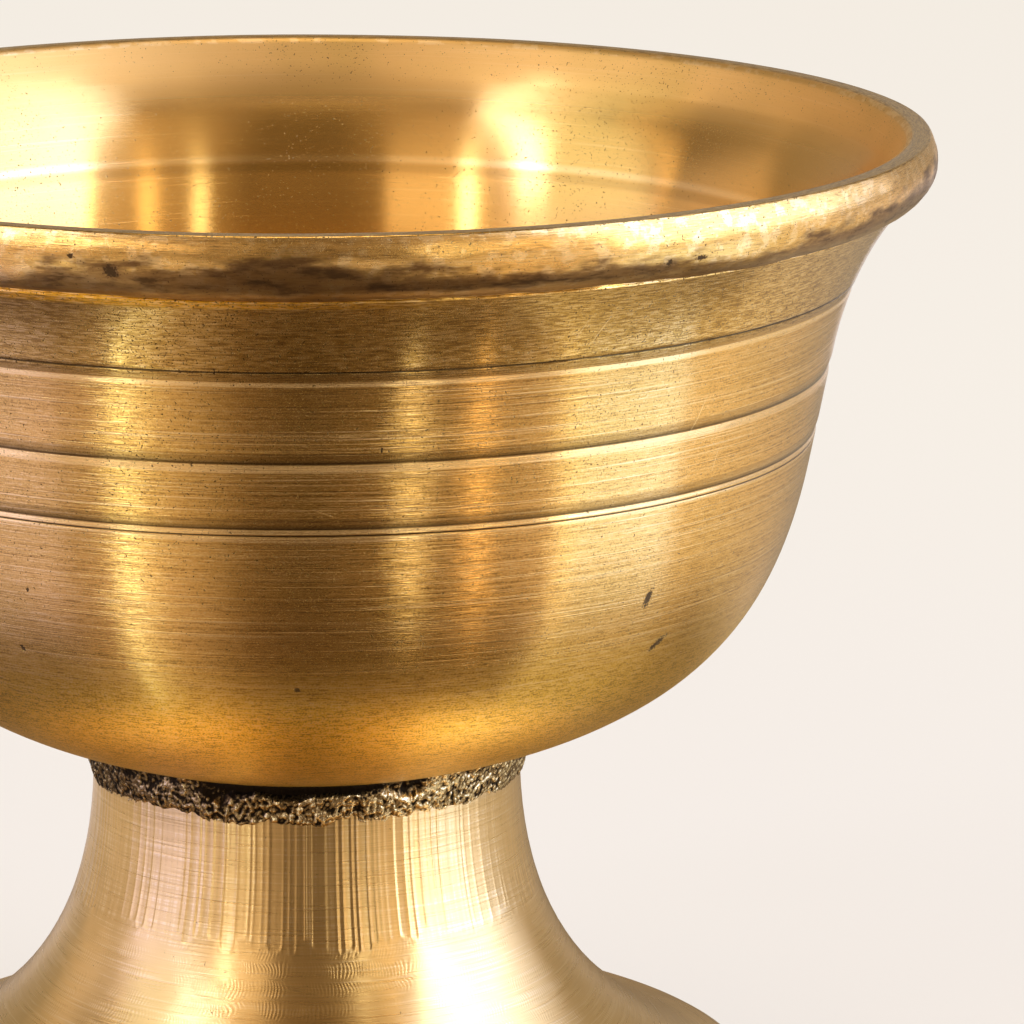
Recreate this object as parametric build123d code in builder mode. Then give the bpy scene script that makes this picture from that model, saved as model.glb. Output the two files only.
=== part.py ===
"""A brass butter lamp: a turned cup on a hollow bell foot, held together by a ring of solder.

Millimetres, +Z up. The origin is in the middle of the ring that the foot stands on, and every
piece is turned about the Z axis.
"""
import math
import os

from build123d import *

# Rim of the bowl: a flat top with a crisp outer edge, and a bulging face that curls in underneath.
# A curve leaves its ends along straight arms. Longer arms make a fuller curve, and each arm's angle
# is counted outwards from straight up.
rim_radius = 40.0
rim_bulge = 0.5
rim_top_width = 1.3
rim_height = 4.0
rim_overhang = 1.9
rim_brow_angle = 139.0
rim_brow_arm = 1.6
rim_chin_angle = 87.0
rim_chin_arm = 1.8
rim_inner_round = 0.4
rim_top_round = 0.15
rim_undercut_radius = 0.3

# Outside of the bowl below the rim: a concave flare, a straight wall and a domed underside
flare_height = 9.5
flare_angle = 41.5
flare_upper_arm = 3.5
flare_lower_arm = 3.3
waist_radius = 33.7
wall_height = 7.5
wall_taper = 11.2
dome_height = 18.8
dome_angle = 15.3
dome_wall_arm = 11.0
dome_floor_arm = 12.4

# Turned grooves: one on the flare, one on the wall, and a close pair, as depths below the rim
groove_width = 1.0
groove_depth = 0.22
flare_groove_drop = 9.2
wall_groove_drop = 14.5
pair_groove_drop = 18.3
pair_groove_width = 0.7
pair_groove_pitch = 0.85

# Inside of the bowl, and the blind hole that holds the wick upright
wall_thickness = 1.8
floor_thickness = 1.2
wick_hole_radius = 1.5
wick_hole_depth = 6.0

# Spigot under the bowl, which centres it in the mouth of the foot
spigot_radius = 8.0
spigot_length = 7.0
spigot_chamfer = 0.6
spigot_clearance = 0.1

# Foot: a narrow neck, a trumpet flare and a rounded lip
neck_radius = 13.8
neck_bevel_width = 0.8
neck_bevel_height = 1.2
foot_flare_height = 21.1
foot_flare_radius = 28.3
foot_neck_arm = 13.5
foot_lip_arm = 7.3
foot_lip_angle = 18.0
lip_round = 2.0
lip_face_height = 2.5
base_round = 1.0
foot_wall = 2.6
collar_height = 9.0

# Solder in the corner between the bowl's underside and the neck
seam_reach = 1.2
seam_skirt = 1.0
seam_crown = 0.45
seam_overlap = 0.05

# Places that follow from the sizes above
land_radius = neck_radius - neck_bevel_width
bore_radius = spigot_radius + spigot_clearance
lip_drop = lip_round * math.cos(math.radians(foot_lip_angle))
foot_height = neck_bevel_height + foot_flare_height + lip_drop + lip_face_height
land_z = foot_height
wall_foot_z = land_z + dome_height
waist_z = wall_foot_z + wall_height
flare_top_z = waist_z + flare_height
rim_z = flare_top_z + rim_height
wall_foot_radius = waist_radius - wall_height * math.tan(math.radians(wall_taper))
flare_top_radius = rim_radius - rim_overhang
rim_edge_radius = rim_radius - rim_bulge
rim_inner_radius = rim_edge_radius - rim_top_width
floor_z = land_z + floor_thickness


def arm(angle, length):
    """A step of the given length, leaning outwards by an angle from straight up."""
    return Vector(length * math.sin(math.radians(angle)), length * math.cos(math.radians(angle)))


def crossing(curves, height):
    """The point at which one of the profile's curves reaches a height."""
    level = Axis((0, height), (1, 0))
    points = [point for curve in curves for point in curve.find_intersection_points(level)]
    return points[0]


def inset(curve, distance):
    """A curve on the inner side of a profile curve, at a steady distance from it."""
    points = []
    for fraction in (0, 0.25, 0.5, 0.75, 1):
        along = curve % fraction
        points.append(curve @ fraction + Vector(along.Y, -along.X) * distance)
    return Spline(points, tangents=(curve % 0, curve % 1))


def groove_circle(width, depth):
    """Radius of the round tool that cuts a groove of this width and depth."""
    return (width**2 / 4 + depth**2) / (2 * depth)


os.makedirs("parts", exist_ok=True)

# Bowl: the outside is the flare, the wall and the dome, and the inside follows it at the wall's
# thickness up to the rim and down to the floor
flare_top = Vector(flare_top_radius, flare_top_z)
waist = Vector(waist_radius, waist_z)
wall_foot = Vector(wall_foot_radius, wall_foot_z)
land_edge = Vector(land_radius, land_z)
rim_edge = Vector(rim_edge_radius, rim_z)

with BuildSketch(Plane.XZ) as bowl_section:
    with BuildLine():
        flare = Bezier(
            flare_top,
            flare_top - arm(flare_angle, flare_upper_arm),
            waist + arm(wall_taper, flare_lower_arm),
            waist,
        )
        wall = Line(waist, wall_foot)
        dome = Bezier(
            wall_foot,
            wall_foot - arm(wall_taper, dome_wall_arm),
            land_edge + arm(90 - dome_angle, dome_floor_arm),
            land_edge,
        )
        inner_flare = inset(flare, wall_thickness)
        inner_dome = inset(dome, wall_thickness)
        Line(inner_flare @ 1, inner_dome @ 0)
        FilletPolyline(inner_flare @ 0, (rim_inner_radius, rim_z), rim_edge, radius=rim_inner_round)
        Bezier(
            rim_edge,
            rim_edge + arm(rim_brow_angle, rim_brow_arm),
            flare_top + arm(rim_chin_angle, rim_chin_arm),
            flare_top,
        )
        Spline(inner_dome @ 1, (0, floor_z), tangents=(inner_dome % 1, (-1, 0)))
        Polyline((0, floor_z), (0, land_z), land_edge)
    make_face()
    fillet(bowl_section.vertices().sort_by_distance(rim_edge)[0], rim_top_round)
    with Locations(flare_top):
        Circle(rim_undercut_radius, mode=Mode.SUBTRACT)
    for drop, width in (
        (flare_groove_drop, groove_width),
        (wall_groove_drop, groove_width),
        (pair_groove_drop, pair_groove_width),
        (pair_groove_drop + pair_groove_pitch, pair_groove_width),
    ):
        tool_radius = groove_circle(width, groove_depth)
        with Locations(crossing((flare, wall, dome), rim_z - drop) + (tool_radius - groove_depth, 0)):
            Circle(tool_radius, mode=Mode.SUBTRACT)

with BuildPart() as bowl:
    add(bowl_section.sketch)
    revolve(axis=Axis.Z)
    with BuildSketch(Plane.XY.offset(land_z)):
        Circle(spigot_radius)
    extrude(amount=-spigot_length)
    spigot_rim = bowl.edges().filter_by(GeomType.CIRCLE).sort_by(Axis.Z)[0]
    chamfer(spigot_rim, spigot_chamfer)
    with Locations((0, 0, floor_z)):
        Hole(wick_hole_radius, depth=wick_hole_depth)

# Foot: bored at the mouth, hollow under the collar and open beneath
neck_top = Vector(neck_radius, land_z - neck_bevel_height)
lip_start = Vector(foot_flare_radius, neck_top.Y - foot_flare_height)

with BuildSketch(Plane.XZ) as foot_section:
    with BuildLine():
        foot_flare = Bezier(
            neck_top,
            neck_top - (0, foot_neck_arm),
            lip_start - arm(90 + foot_lip_angle, foot_lip_arm),
            lip_start,
        )
        lip = JernArc(foot_flare @ 1, foot_flare % 1, lip_round, foot_lip_angle - 90)
        lip_face = Line(lip @ 1, ((lip @ 1).X, base_round))
        base_corner = JernArc(lip_face @ 1, lip_face % 1, base_round, -90)
        Polyline(base_corner @ 1, (0, 0), (0, land_z), land_edge, neck_top)
    make_face()
    with BuildLine():
        hollow = inset(foot_flare, foot_wall)
        Polyline(hollow @ 0, (0, (hollow @ 0).Y), (0, 0), ((hollow @ 1).X, 0), hollow @ 1)
    make_face(mode=Mode.SUBTRACT)
    with Locations((0, land_z)):
        Rectangle(neck_radius - foot_wall / 2, collar_height, align=(Align.MIN, Align.MAX))
        Rectangle(bore_radius, collar_height, align=(Align.MIN, Align.MAX), mode=Mode.SUBTRACT)

with BuildPart() as foot:
    add(foot_section.sketch)
    revolve(axis=Axis.Z)

# Solder: a bead drawn over the corner, less what the bowl and the foot already fill there
seam_top = Vector(neck_radius + seam_reach, land_z + wall_thickness / 2)
seam_foot = Vector(neck_radius - seam_overlap, neck_top.Y - seam_skirt)
seam_middle = Vector(neck_radius + seam_crown, (seam_top.Y + seam_foot.Y) / 2)

with BuildSketch(Plane.XZ) as seam_section:
    with BuildLine():
        ThreePointArc(seam_top, seam_middle, seam_foot)
        Polyline(seam_foot, (land_radius, seam_foot.Y), (land_radius, seam_top.Y), seam_top)
    make_face()
    add(bowl_section.sketch_local, mode=Mode.SUBTRACT)
    add(foot_section.sketch_local, mode=Mode.SUBTRACT)

with BuildPart() as solder_seam:
    add(seam_section.sketch)
    revolve(axis=Axis.Z)

for piece, name in ((bowl, "bowl"), (foot, "foot"), (solder_seam, "solder_seam")):
    piece.part.label = name
    export_step(piece.part, f"parts/{name}.step")
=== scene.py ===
"""Dresses a brass butter lamp: the turned bowl, the scraped foot and the solder that joins them.

Sizes are in millimetres and angles in degrees, and meshes are handed to Blender in metres. Azimuth is
counted round the lamp from the side that faces the camera, and is positive to the camera's right.
"""

import logging
from dataclasses import dataclass
from enum import Enum
from typing import Any, Dict, List, Optional, Sequence, Tuple, Union

import bpy
import numpy as np
from mathutils import Matrix, Vector


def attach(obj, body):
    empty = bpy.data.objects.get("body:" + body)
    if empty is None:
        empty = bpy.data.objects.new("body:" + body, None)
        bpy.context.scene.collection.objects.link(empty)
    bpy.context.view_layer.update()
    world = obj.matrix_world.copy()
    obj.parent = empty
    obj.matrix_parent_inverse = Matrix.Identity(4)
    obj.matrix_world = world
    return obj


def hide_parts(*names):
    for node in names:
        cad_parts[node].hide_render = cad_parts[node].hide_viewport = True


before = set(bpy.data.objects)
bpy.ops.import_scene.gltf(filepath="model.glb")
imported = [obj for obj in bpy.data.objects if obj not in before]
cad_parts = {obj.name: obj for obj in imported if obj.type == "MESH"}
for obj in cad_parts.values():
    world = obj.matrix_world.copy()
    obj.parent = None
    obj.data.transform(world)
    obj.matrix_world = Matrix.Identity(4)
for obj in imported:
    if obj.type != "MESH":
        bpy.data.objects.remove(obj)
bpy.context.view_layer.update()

MM = 0.001
BODY = "root"
# Middle of what the noise texture gives, and a spot's outer and inner edge as shares of its half widths
NOISE_MIDDLE = 0.5
SPOT_EDGE = (1.15, 0.75)
# The stain's value away from the rim's face
OFF_RIM = -9.0
# Steps in which a path is measured before its points are spread, and the least distance between its points
FINE_STEPS = 8000
LEAST_STEP = 1e-9
Triple = Tuple[float, float, float]
Colour = Triple

logging.basicConfig(level=logging.INFO, format="%(message)s")
log = logging.getLogger("butter_lamp")


class Trace(str, Enum):
    """Values that a mesh carries at its points for its finish to read."""

    ALONG = "along"
    RECESS = "recess"
    STAIN = "stain"
    CREST = "crest"
    COVER = "cover"
    CALM = "calm"


class Op(str, Enum):
    """The arithmetic that a shader graph uses."""

    ADD = "ADD"
    SUBTRACT = "SUBTRACT"
    MULTIPLY = "MULTIPLY"
    MAXIMUM = "MAXIMUM"
    ABSOLUTE = "ABSOLUTE"
    SINE = "SINE"
    FRACTION = "FRACT"
    BEARING = "ARCTAN2"


class Seen(Enum):
    """Which rays meet an object of the studio."""

    BY_ALL = "all"
    NOT_BY_CAMERA = "not by camera"
    IN_REFLECTIONS = "in reflections"


@dataclass(frozen=True)
class Wire:
    """An output socket that takes part in Python arithmetic, where each sign adds one Math node."""

    graph: "Graph"
    socket: bpy.types.NodeSocket

    def __add__(self, other: "Value") -> "Wire":
        """Sum of two values."""
        return self.graph.math(Op.ADD, self, other)

    __radd__ = __add__

    def __mul__(self, other: "Value") -> "Wire":
        """Product of two values."""
        return self.graph.math(Op.MULTIPLY, self, other)

    __rmul__ = __mul__

    def __sub__(self, other: "Value") -> "Wire":
        """Difference of two values."""
        return self.graph.math(Op.SUBTRACT, self, other)

    def __rsub__(self, other: "Value") -> "Wire":
        """Difference with this value on the right."""
        return self.graph.math(Op.SUBTRACT, other, self)


Value = Union[Wire, float]


class Graph:
    """A node tree that is being written."""

    def __init__(self, tree: bpy.types.NodeTree) -> None:
        """Starts on the emptied tree of a material or of the world."""
        tree.nodes.clear()
        self.tree = tree

    def node(self, kind: str, settings: Optional[Dict[str, Any]] = None,
             inputs: Optional[Dict[Any, Any]] = None) -> bpy.types.Node:
        """Adds one node.

        Args:
            kind: the node's type.
            settings: properties of the node, which are set first.
            inputs: values or wires for its sockets, by name or number.

        Returns:
            The new node.
        """
        made = self.tree.nodes.new(kind)
        for name, value in (settings or {}).items():
            setattr(made, name, value)
        for key, value in (inputs or {}).items():
            if isinstance(value, Wire):
                self.tree.links.new(value.socket, made.inputs[key])
            else:
                made.inputs[key].default_value = value
        return made

    def wire(self, node: bpy.types.Node, output: Union[str, int] = 0) -> Wire:
        """One output of a node, ready for arithmetic."""
        return Wire(self, node.outputs[output])

    def math(self, operation: Op, *values: Value) -> Wire:
        """Adds a Math node for one operation on values."""
        node = self.node("ShaderNodeMath", {"operation": operation.value}, dict(enumerate(values)))
        return self.wire(node)

    def most(self, first: Value, second: Value) -> Wire:
        """The larger of two values."""
        return self.math(Op.MAXIMUM, first, second)

    def mix(self, amount: Value, low: Union[Wire, Colour], high: Union[Wire, Colour]) -> Wire:
        """Blends two colours.

        Args:
            amount: 0 gives the first colour and 1 the second.
            low: the first colour.
            high: the second colour.

        Returns:
            The blended colour.
        """
        ends = [c if isinstance(c, Wire) else (*c, 1.0) for c in (low, high)]
        node = self.node("ShaderNodeMix", {"data_type": "RGBA"}, {0: amount, 6: ends[0], 7: ends[1]})
        return self.wire(node, 2)

    def ease(self, value: Value, low: float, high: float) -> Wire:
        """Goes smoothly from 0 where the value is low to 1 where it is high, or back if low is above high."""
        limits = {"Value": value, "From Min": low, "From Max": high}
        return self.wire(self.node("ShaderNodeMapRange", {"interpolation_type": "SMOOTHSTEP"}, limits))

    def place(self) -> Wire:
        """Where a point of the piece is, in millimetres."""
        where = self.wire(self.node("ShaderNodeTexCoord"), "Object")
        inputs = {0: where, "Scale": 1 / MM}
        return self.wire(self.node("ShaderNodeVectorMath", {"operation": "SCALE"}, inputs))

    def trace(self, trace: Trace) -> Wire:
        """A value that the mesh carries."""
        return self.wire(self.node("ShaderNodeAttribute", {"attribute_name": trace.value}), "Fac")

    def axes(self) -> Tuple[Wire, Wire, Wire]:
        """The three coordinates of a point of the piece, in millimetres."""
        parts = self.node("ShaderNodeSeparateXYZ", inputs={0: self.place()})
        return self.wire(parts, "X"), self.wire(parts, "Y"), self.wire(parts, "Z")

    def azimuth(self) -> Wire:
        """Azimuth of a point of the piece, in radians."""
        x, y, _ = self.axes()
        return self.math(Op.BEARING, x, y * -1.0)

    def scraped(self, width: float, length: float, radius: float) -> Wire:
        """Coordinates for a pattern of strokes that run down the outline.

        The point is pulled onto a circle about the axis, so x and y are those of its direction times the
        radius / width, and the third value is the distance along the outline / length.

        Args:
            width: how far apart the strokes are round the axis.
            length: how long a stroke is.
            radius: where the width is measured.

        Returns:
            A vector for a texture of scale 1.
        """
        inputs = {0: self.place(), 1: (1.0, 1.0, 0.0)}
        flat = self.node("ShaderNodeVectorMath", {"operation": "MULTIPLY"}, inputs)
        unit = self.node("ShaderNodeVectorMath", {"operation": "NORMALIZE"}, {0: self.wire(flat)})
        parts = self.node("ShaderNodeSeparateXYZ", inputs={0: self.wire(unit)})
        x, y = (self.wire(parts, axis) * (radius / width) for axis in ("X", "Y"))
        along = self.trace(Trace.ALONG) * (1 / length)
        return self.wire(self.node("ShaderNodeCombineXYZ", inputs={"X": x, "Y": y, "Z": along}))

    def turned(self, length: float, pitch: float) -> Wire:
        """Coordinates for a pattern that the lathe draws out round the axis.

        The three values are x / length, y / length and the distance along the outline / pitch.

        Args:
            length: how long a mark runs round the axis.
            pitch: how far apart the marks are along the outline.

        Returns:
            A vector for a texture of scale 1.
        """
        x, y, _ = self.axes()
        along = self.trace(Trace.ALONG) * (1 / pitch)
        inputs = {"X": x * (1 / length), "Y": y * (1 / length), "Z": along}
        return self.wire(self.node("ShaderNodeCombineXYZ", inputs=inputs))

    def noise(self, where: Wire, scale: float = 1.0, detail: float = 1.0, rough: float = 0.5,
              distortion: float = 0.0) -> Wire:
        """Cloudy random values about a half.

        Args:
            where: coordinates.
            scale: clouds per unit.
            detail: how many finer layers are added.
            rough: how strong each finer layer is.
            distortion: how far the clouds are stirred.

        Returns:
            A value from 0 to 1.
        """
        inputs = {"Vector": where, "Scale": scale, "Detail": detail, "Roughness": rough,
                  "Distortion": distortion}
        return self.wire(self.node("ShaderNodeTexNoise", inputs=inputs), "Fac")

    def spot(self, where: Wire, centre: Triple, size: Triple, turn: Triple, ragged: Wire) -> Wire:
        """A spot of ellipsoid shape: an eased step of the distance from its middle in its own sizes.

        Args:
            where: coordinates.
            centre: its middle.
            size: its three half widths.
            turn: how it is turned about the three axes, in radians.
            ragged: a value about 0 that pushes its edge in and out.

        Returns:
            1 inside the spot and 0 outside it, with a soft edge.
        """
        inputs = {"Vector": where, "Location": centre, "Rotation": turn, "Scale": size}
        own = self.wire(self.node("ShaderNodeMapping", {"vector_type": "TEXTURE"}, inputs))
        reach = self.node("ShaderNodeVectorMath", {"operation": "LENGTH"}, {0: own})
        return self.ease(self.wire(reach, "Value") + ragged, *SPOT_EDGE)

    def bump(self, height: Wire) -> Wire:
        """Turns heights in millimetres into a normal."""
        return self.wire(self.node("ShaderNodeBump", inputs={"Height": height, "Distance": MM}))

    def surface(self, node: bpy.types.Node, output: str = "ShaderNodeOutputMaterial") -> None:
        """Ends the graph with a shader."""
        self.node(output, inputs={"Surface": self.wire(node)})


def new_material(name: str) -> Tuple[bpy.types.Material, Graph]:
    """A material with an empty graph.

    Args:
        name: the material's name.

    Returns:
        The material and its graph.
    """
    material = bpy.data.materials.new(name)
    material.use_nodes = True
    return material, Graph(material.node_tree)


@dataclass(frozen=True)
class Pit:
    """A larger pit or a scratch in the bowl: its place, half width, half height, slant and half depth."""

    azimuth: float
    radius: float
    level: float
    wide: float
    high: float
    slant: float = 0.0
    deep: float = 0.6

    def mask(self, graph: Graph, where: Wire, ragged: Wire) -> Wire:
        """Where the mark is.

        Args:
            graph: the finish's graph.
            where: coordinates in millimetres.
            ragged: a value about 0 that pushes its edge in and out.

        Returns:
            1 inside the mark and 0 outside it.
        """
        side = np.radians(self.azimuth)
        centre = (self.radius * np.sin(side), -self.radius * np.cos(side), self.level)
        size, turned = (self.wide, self.deep, self.high), (0.0, np.radians(self.slant), side)
        return graph.spot(where, centre, size, turned, ragged)


@dataclass(frozen=True)
class Band:
    """A band round the bowl: its edges below the rim, how strong it is and how soft its edges are."""

    top: float
    bottom: float
    strength: float
    soft: float = 0.04

    def mask(self, graph: Graph, drop: Wire) -> Wire:
        """How much of the band a point gets, for its depth below the rim."""
        below = graph.ease(drop, self.top - self.soft, self.top + self.soft)
        return below * graph.ease(drop, self.bottom + self.soft, self.bottom - self.soft) * self.strength


@dataclass(frozen=True)
class Ramp:
    """A soft step between two values, and how strong it is at its end."""

    low: float
    high: float
    strength: float = 1.0

    def of(self, graph: Graph, value: Value) -> Wire:
        """The step for a value."""
        step = graph.ease(value, self.low, self.high)
        return step if self.strength == 1.0 else step * self.strength


@dataclass(frozen=True)
class Noise:
    """Cloudy noise: how far apart its clouds are, its finer layers, their strength and how stirred it is."""

    spacing: float
    detail: float = 1.0
    rough: float = 0.5
    stirred: float = 0.0

    def of(self, graph: Graph, where: Wire) -> Wire:
        """The noise at a place, as a value about 0."""
        return graph.noise(where, 1 / self.spacing, self.detail, self.rough, self.stirred) - NOISE_MIDDLE


@dataclass(frozen=True)
class TurnedMarks:
    """Noise drawn out by the lathe: how long a mark is, how far apart marks are, and its finer layers."""

    length: float
    pitch: float
    detail: float = 1.0
    rough: float = 0.5

    def of(self, graph: Graph) -> Wire:
        """The marks, as a value about 0."""
        where = graph.turned(self.length, self.pitch)
        return graph.noise(where, 1.0, self.detail, self.rough) - NOISE_MIDDLE


@dataclass(frozen=True)
class TurnedBrass:
    """Brass as the lathe leaves it: tool lines round the axis, casting flaws, and painted shade and
    highlights in the grooves.

    On the flare the marks are short and the brass is olive, and on the dome the tool lines fade into the
    plain grain of the casting, whose amber is partly its own warmer colour and mostly a painted reflection of
    the brass foot.
    Ledges of the grooves get a painted highlight, and their other sides painted shade with painted shadow
    lines.
    Inside, the lip is satin and a painted highlight line over painted shade runs round below it. The crease
    under the rim gets a painted glow, the rim's face painted highlights in patches, the chin a painted
    reflection of the flare, and the tool lines painted highlights.
    """

    name: str = "turned_brass"
    # Colours
    brass: Colour = (0.78, 0.46, 0.135)
    # The bright colour also paints highlights: on the rim, the tool lines, the groove ledges and the inner
    # line.
    bright: Colour = (0.95, 0.67, 0.31)
    olive: Colour = (0.54, 0.335, 0.07)
    # The umber colour is random dark mottling and also paints the shade under the inner line.
    umber: Colour = (0.30, 0.16, 0.045)
    rust: Colour = (0.17, 0.085, 0.03)
    # The tarnish colour is for the stain's darkest patches and also paints shade in the grooves.
    tarnish: Colour = (0.06, 0.032, 0.012)
    # The next colour paints the shadow lines under the groove edges.
    shadow_colour: Colour = (0.04, 0.022, 0.009)
    flaw: Colour = (0.06, 0.032, 0.013)
    pit: Colour = (0.06, 0.03, 0.006)
    # Amber on the cast dome: partly the cast's own warmer colour, mostly a painted reflection of the brass
    # foot.
    amber_reflection: Colour = (1.0, 0.62, 0.06)
    # Orange: a painted glow of light bounced about in the crease under the rim.
    crease_glow: Colour = (0.86, 0.43, 0.025)
    # Where each part of the bowl begins, by the stain's value, the height or the depth below the rim
    rim_level: float = 66.502
    rim_edge: Ramp = Ramp(OFF_RIM + 1.0, OFF_RIM + 4.0)
    flare_edge: Ramp = Ramp(57.1, 57.7)
    cast_edge: Ramp = Ramp(40.5, 33.5)
    chin_edge: Ramp = Ramp(3.0, 3.6)
    lip_edge: Ramp = Ramp(61.4, 65.4)
    # The crease band and the side ramp after it place the painted glow: in the crease, on one side of the
    # bowl only.
    crease: Band = Band(3.85, 4.62, 0.95, 0.1)
    crease_side: Ramp = Ramp(16.0, -6.0)
    # Marks of the tool, and how much of them is left on the flare, on the dome and inside
    lines: TurnedMarks = TurnedMarks(60.0, 0.24, 1.0, 0.6)
    breaks: TurnedMarks = TurnedMarks(14.0, 0.3)
    fine: TurnedMarks = TurnedMarks(25.0, 0.075)
    micro: TurnedMarks = TurnedMarks(60.0, 0.02, 0.0)
    dashes: TurnedMarks = TurnedMarks(0.9, 0.085, 1.0, 0.6)
    clouds: TurnedMarks = TurnedMarks(2.6, 0.75, 4.0, 0.6)
    line_edge: Ramp = Ramp(0.035, 0.0)
    break_edge: Ramp = Ramp(-0.15, 0.15)
    flare_calm: float = 0.7
    cast_calm: float = 0.8
    inside_calm: float = 0.8
    flare_dash_calm: float = 0.35
    # Grain, specks, painted highlights in patches on the rim, and the olive and amber tints, which on the
    # chin and mostly on the dome are painted reflections
    grain: Noise = Noise(0.11, 2.0, 0.6)
    crumbs: Noise = Noise(0.14, 1.0, 0.6)
    bloom: Noise = Noise(13.0, 2.0)
    # Painted highlights in patches on the rim's face.
    patches: Noise = Noise(1.1, 3.0, 0.6)
    rim_highlight_edge: Ramp = Ramp(0.0, 0.1, 0.5)
    flaw_edge: Ramp = Ramp(0.18, 0.24, 0.8)
    flaw_bloom: float = 0.16
    flare_flaws: float = 0.055
    bloom_olive: Ramp = Ramp(-0.1, 0.2, 0.45)
    flare_olive: float = 0.6
    # On the chin the olive is a painted reflection of the flare.
    chin_reflection: float = 0.5
    # Share of the amber on the dome, mostly painted reflection.
    cast_reflection: float = 0.85
    # Light and dark mottling: shares of the marks, and how even it is inside and on the rim
    fine_tone: float = 0.7
    dash_tone: float = 0.6
    flare_dash_tone: float = 1.3
    cast_dash_tone: float = 0.6
    grain_tone: float = 0.7
    cast_grain_tone: float = 0.9
    inside_even: float = 0.75
    rim_even: float = 0.6
    dark_mottle: Ramp = Ramp(0.0, -0.25, 0.7)
    pale_mottle: Ramp = Ramp(0.03, 0.25, 0.55)
    # Strength of the painted highlight on the tool lines.
    line_highlight: float = 0.85
    # The brown stain on the rim, its darkest patches, and how clean the rim's underside is
    stain_edge: Ramp = Ramp(-0.4, 0.7)
    stain_ragged: float = 3.2
    stain_strength: float = 0.88
    stain_clouds: float = 0.6
    chin_clean: float = 0.3
    deep_clouds: Ramp = Ramp(0.0, 0.16)
    deep_edge: Ramp = Ramp(0.2, 1.2, 0.75)
    deep_ragged: float = 2.0
    chin_deep_clean: float = 0.6
    # Painted highlights on the groove ledges, painted shade on their other sides and painted shadow lines
    # under their edges, by depth below the rim
    line_waver: float = 0.06
    ledge_highlights: Tuple[Band, ...] = (
        Band(9.47, 9.78, 0.65), Band(14.69, 15.18, 0.5), Band(18.77, 19.05, 0.6), Band(19.19, 19.38, 0.5),
    )
    groove_shade: Tuple[Band, ...] = (
        Band(8.9, 9.46, 0.3), Band(13.98, 14.67, 0.25), Band(14.4, 14.67, 0.3, 0.08),
        Band(18.07, 18.76, 0.25), Band(18.5, 18.76, 0.35, 0.08),
    )
    groove_shadows: Tuple[Band, ...] = (
        Band(8.77, 8.9, 0.9, 0.03), Band(14.54, 14.69, 0.6, 0.04), Band(18.64, 18.76, 0.55, 0.04),
        Band(19.07, 19.17, 0.85, 0.03),
    )
    # Inside: a painted highlight line over a band of painted shade, below the lip.
    inner_highlight: Band = Band(7.5, 7.95, 0.45, 0.2)
    inner_shade: Band = Band(8.0, 8.6, 0.3, 0.2)
    # The larger pits and scratches
    pits: Tuple[Pit, ...] = (
        Pit(41.6, 31.11, 41.3, 0.27, 0.6, 14.0), Pit(46.2, 29.64, 37.8, 0.25, 0.75, 50.0),
        Pit(-34.4, 30.14, 38.8, 0.16, 0.26, -20.0), Pit(-1.1, 29.34, 37.26, 0.2, 0.16, 20.0),
        Pit(-31.7, 31.59, 42.9, 0.1, 0.15), Pit(7.6, 33.64, 52.7, 0.08, 0.14, 10.0),
        Pit(-16.1, 39.9, 64.3, 0.46, 0.36, 20.0), Pit(-19.5, 39.8, 65.1, 0.2, 0.15),
        Pit(35.4, 39.8, 63.9, 0.34, 0.17), Pit(32.2, 39.8, 63.8, 0.2, 0.22),
        Pit(118.0, 31.9, 44.0, 0.2, 0.3, -30.0), Pit(-152.0, 33.2, 50.0, 0.12, 0.3, 25.0),
    )
    pit_ragged: float = 2.2
    pit_strength: float = 0.95
    pit_clouds: float = 0.5
    scratches: Tuple[Pit, ...] = (
        Pit(44.5, 33.7, 52.7, 0.035, 1.5, 22.0), Pit(29.0, 36.0, 59.8, 0.05, 1.5, 26.0),
        Pit(26.6, 36.0, 59.6, 0.04, 1.2, 24.0), Pit(48.5, 33.2, 49.4, 0.03, 0.9, 12.0),
        Pit(2.0, 33.0, 48.8, 0.03, 0.8, -70.0), Pit(-95.0, 33.4, 51.0, 0.035, 1.4, 30.0),
        Pit(160.0, 33.0, 48.0, 0.035, 1.6, -25.0),
    )
    scratch_ragged: float = 1.2
    scratch_bright: float = 0.6
    # Heights of the marks
    line_height: float = 0.005
    fine_height: float = 0.006
    micro_height: float = 0.0045
    dash_height: float = 0.006
    grain_height: float = 0.0004
    rim_height: float = 0.02
    flaw_depth: float = 0.006
    pit_depth: float = 0.015
    scratch_depth: float = 0.004
    # Gloss, and what changes it
    roughness: float = 0.17
    cast_roughness: float = 0.37
    anisotropy: float = 1.0
    across_the_lines: float = 0.25
    dirt_rough: float = 0.1
    flaw_rough: float = 0.3
    pit_rough: float = 0.1
    inside_rough: float = 0.015
    rim_gloss: float = 0.1
    lip_rough: float = 0.15
    pit_dullness: float = 0.25

    def banded(self, graph: Graph, drop: Wire, bands: Sequence[Band]) -> Wire:
        """Several bands together, as the sum of their masks.

        Args:
            graph: the finish's graph.
            drop: depth below the rim.
            bands: the bands.

        Returns:
            How much of them a point gets.
        """
        total = bands[0].mask(graph, drop)
        for band in bands[1:]:
            total = total + band.mask(graph, drop)
        return total

    def spotted(self, graph: Graph, place: Wire, spots: Sequence[Pit], ragged: Wire) -> Wire:
        """Several pits or scratches together, as the largest of their masks.

        Args:
            graph: the finish's graph.
            place: coordinates in millimetres.
            spots: the pits or scratches.
            ragged: a value about 0 that pushes their edges in and out.

        Returns:
            1 inside any of them and 0 outside.
        """
        total = spots[0].mask(graph, place, ragged)
        for spot in spots[1:]:
            total = graph.most(total, spot.mask(graph, place, ragged))
        return total

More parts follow.
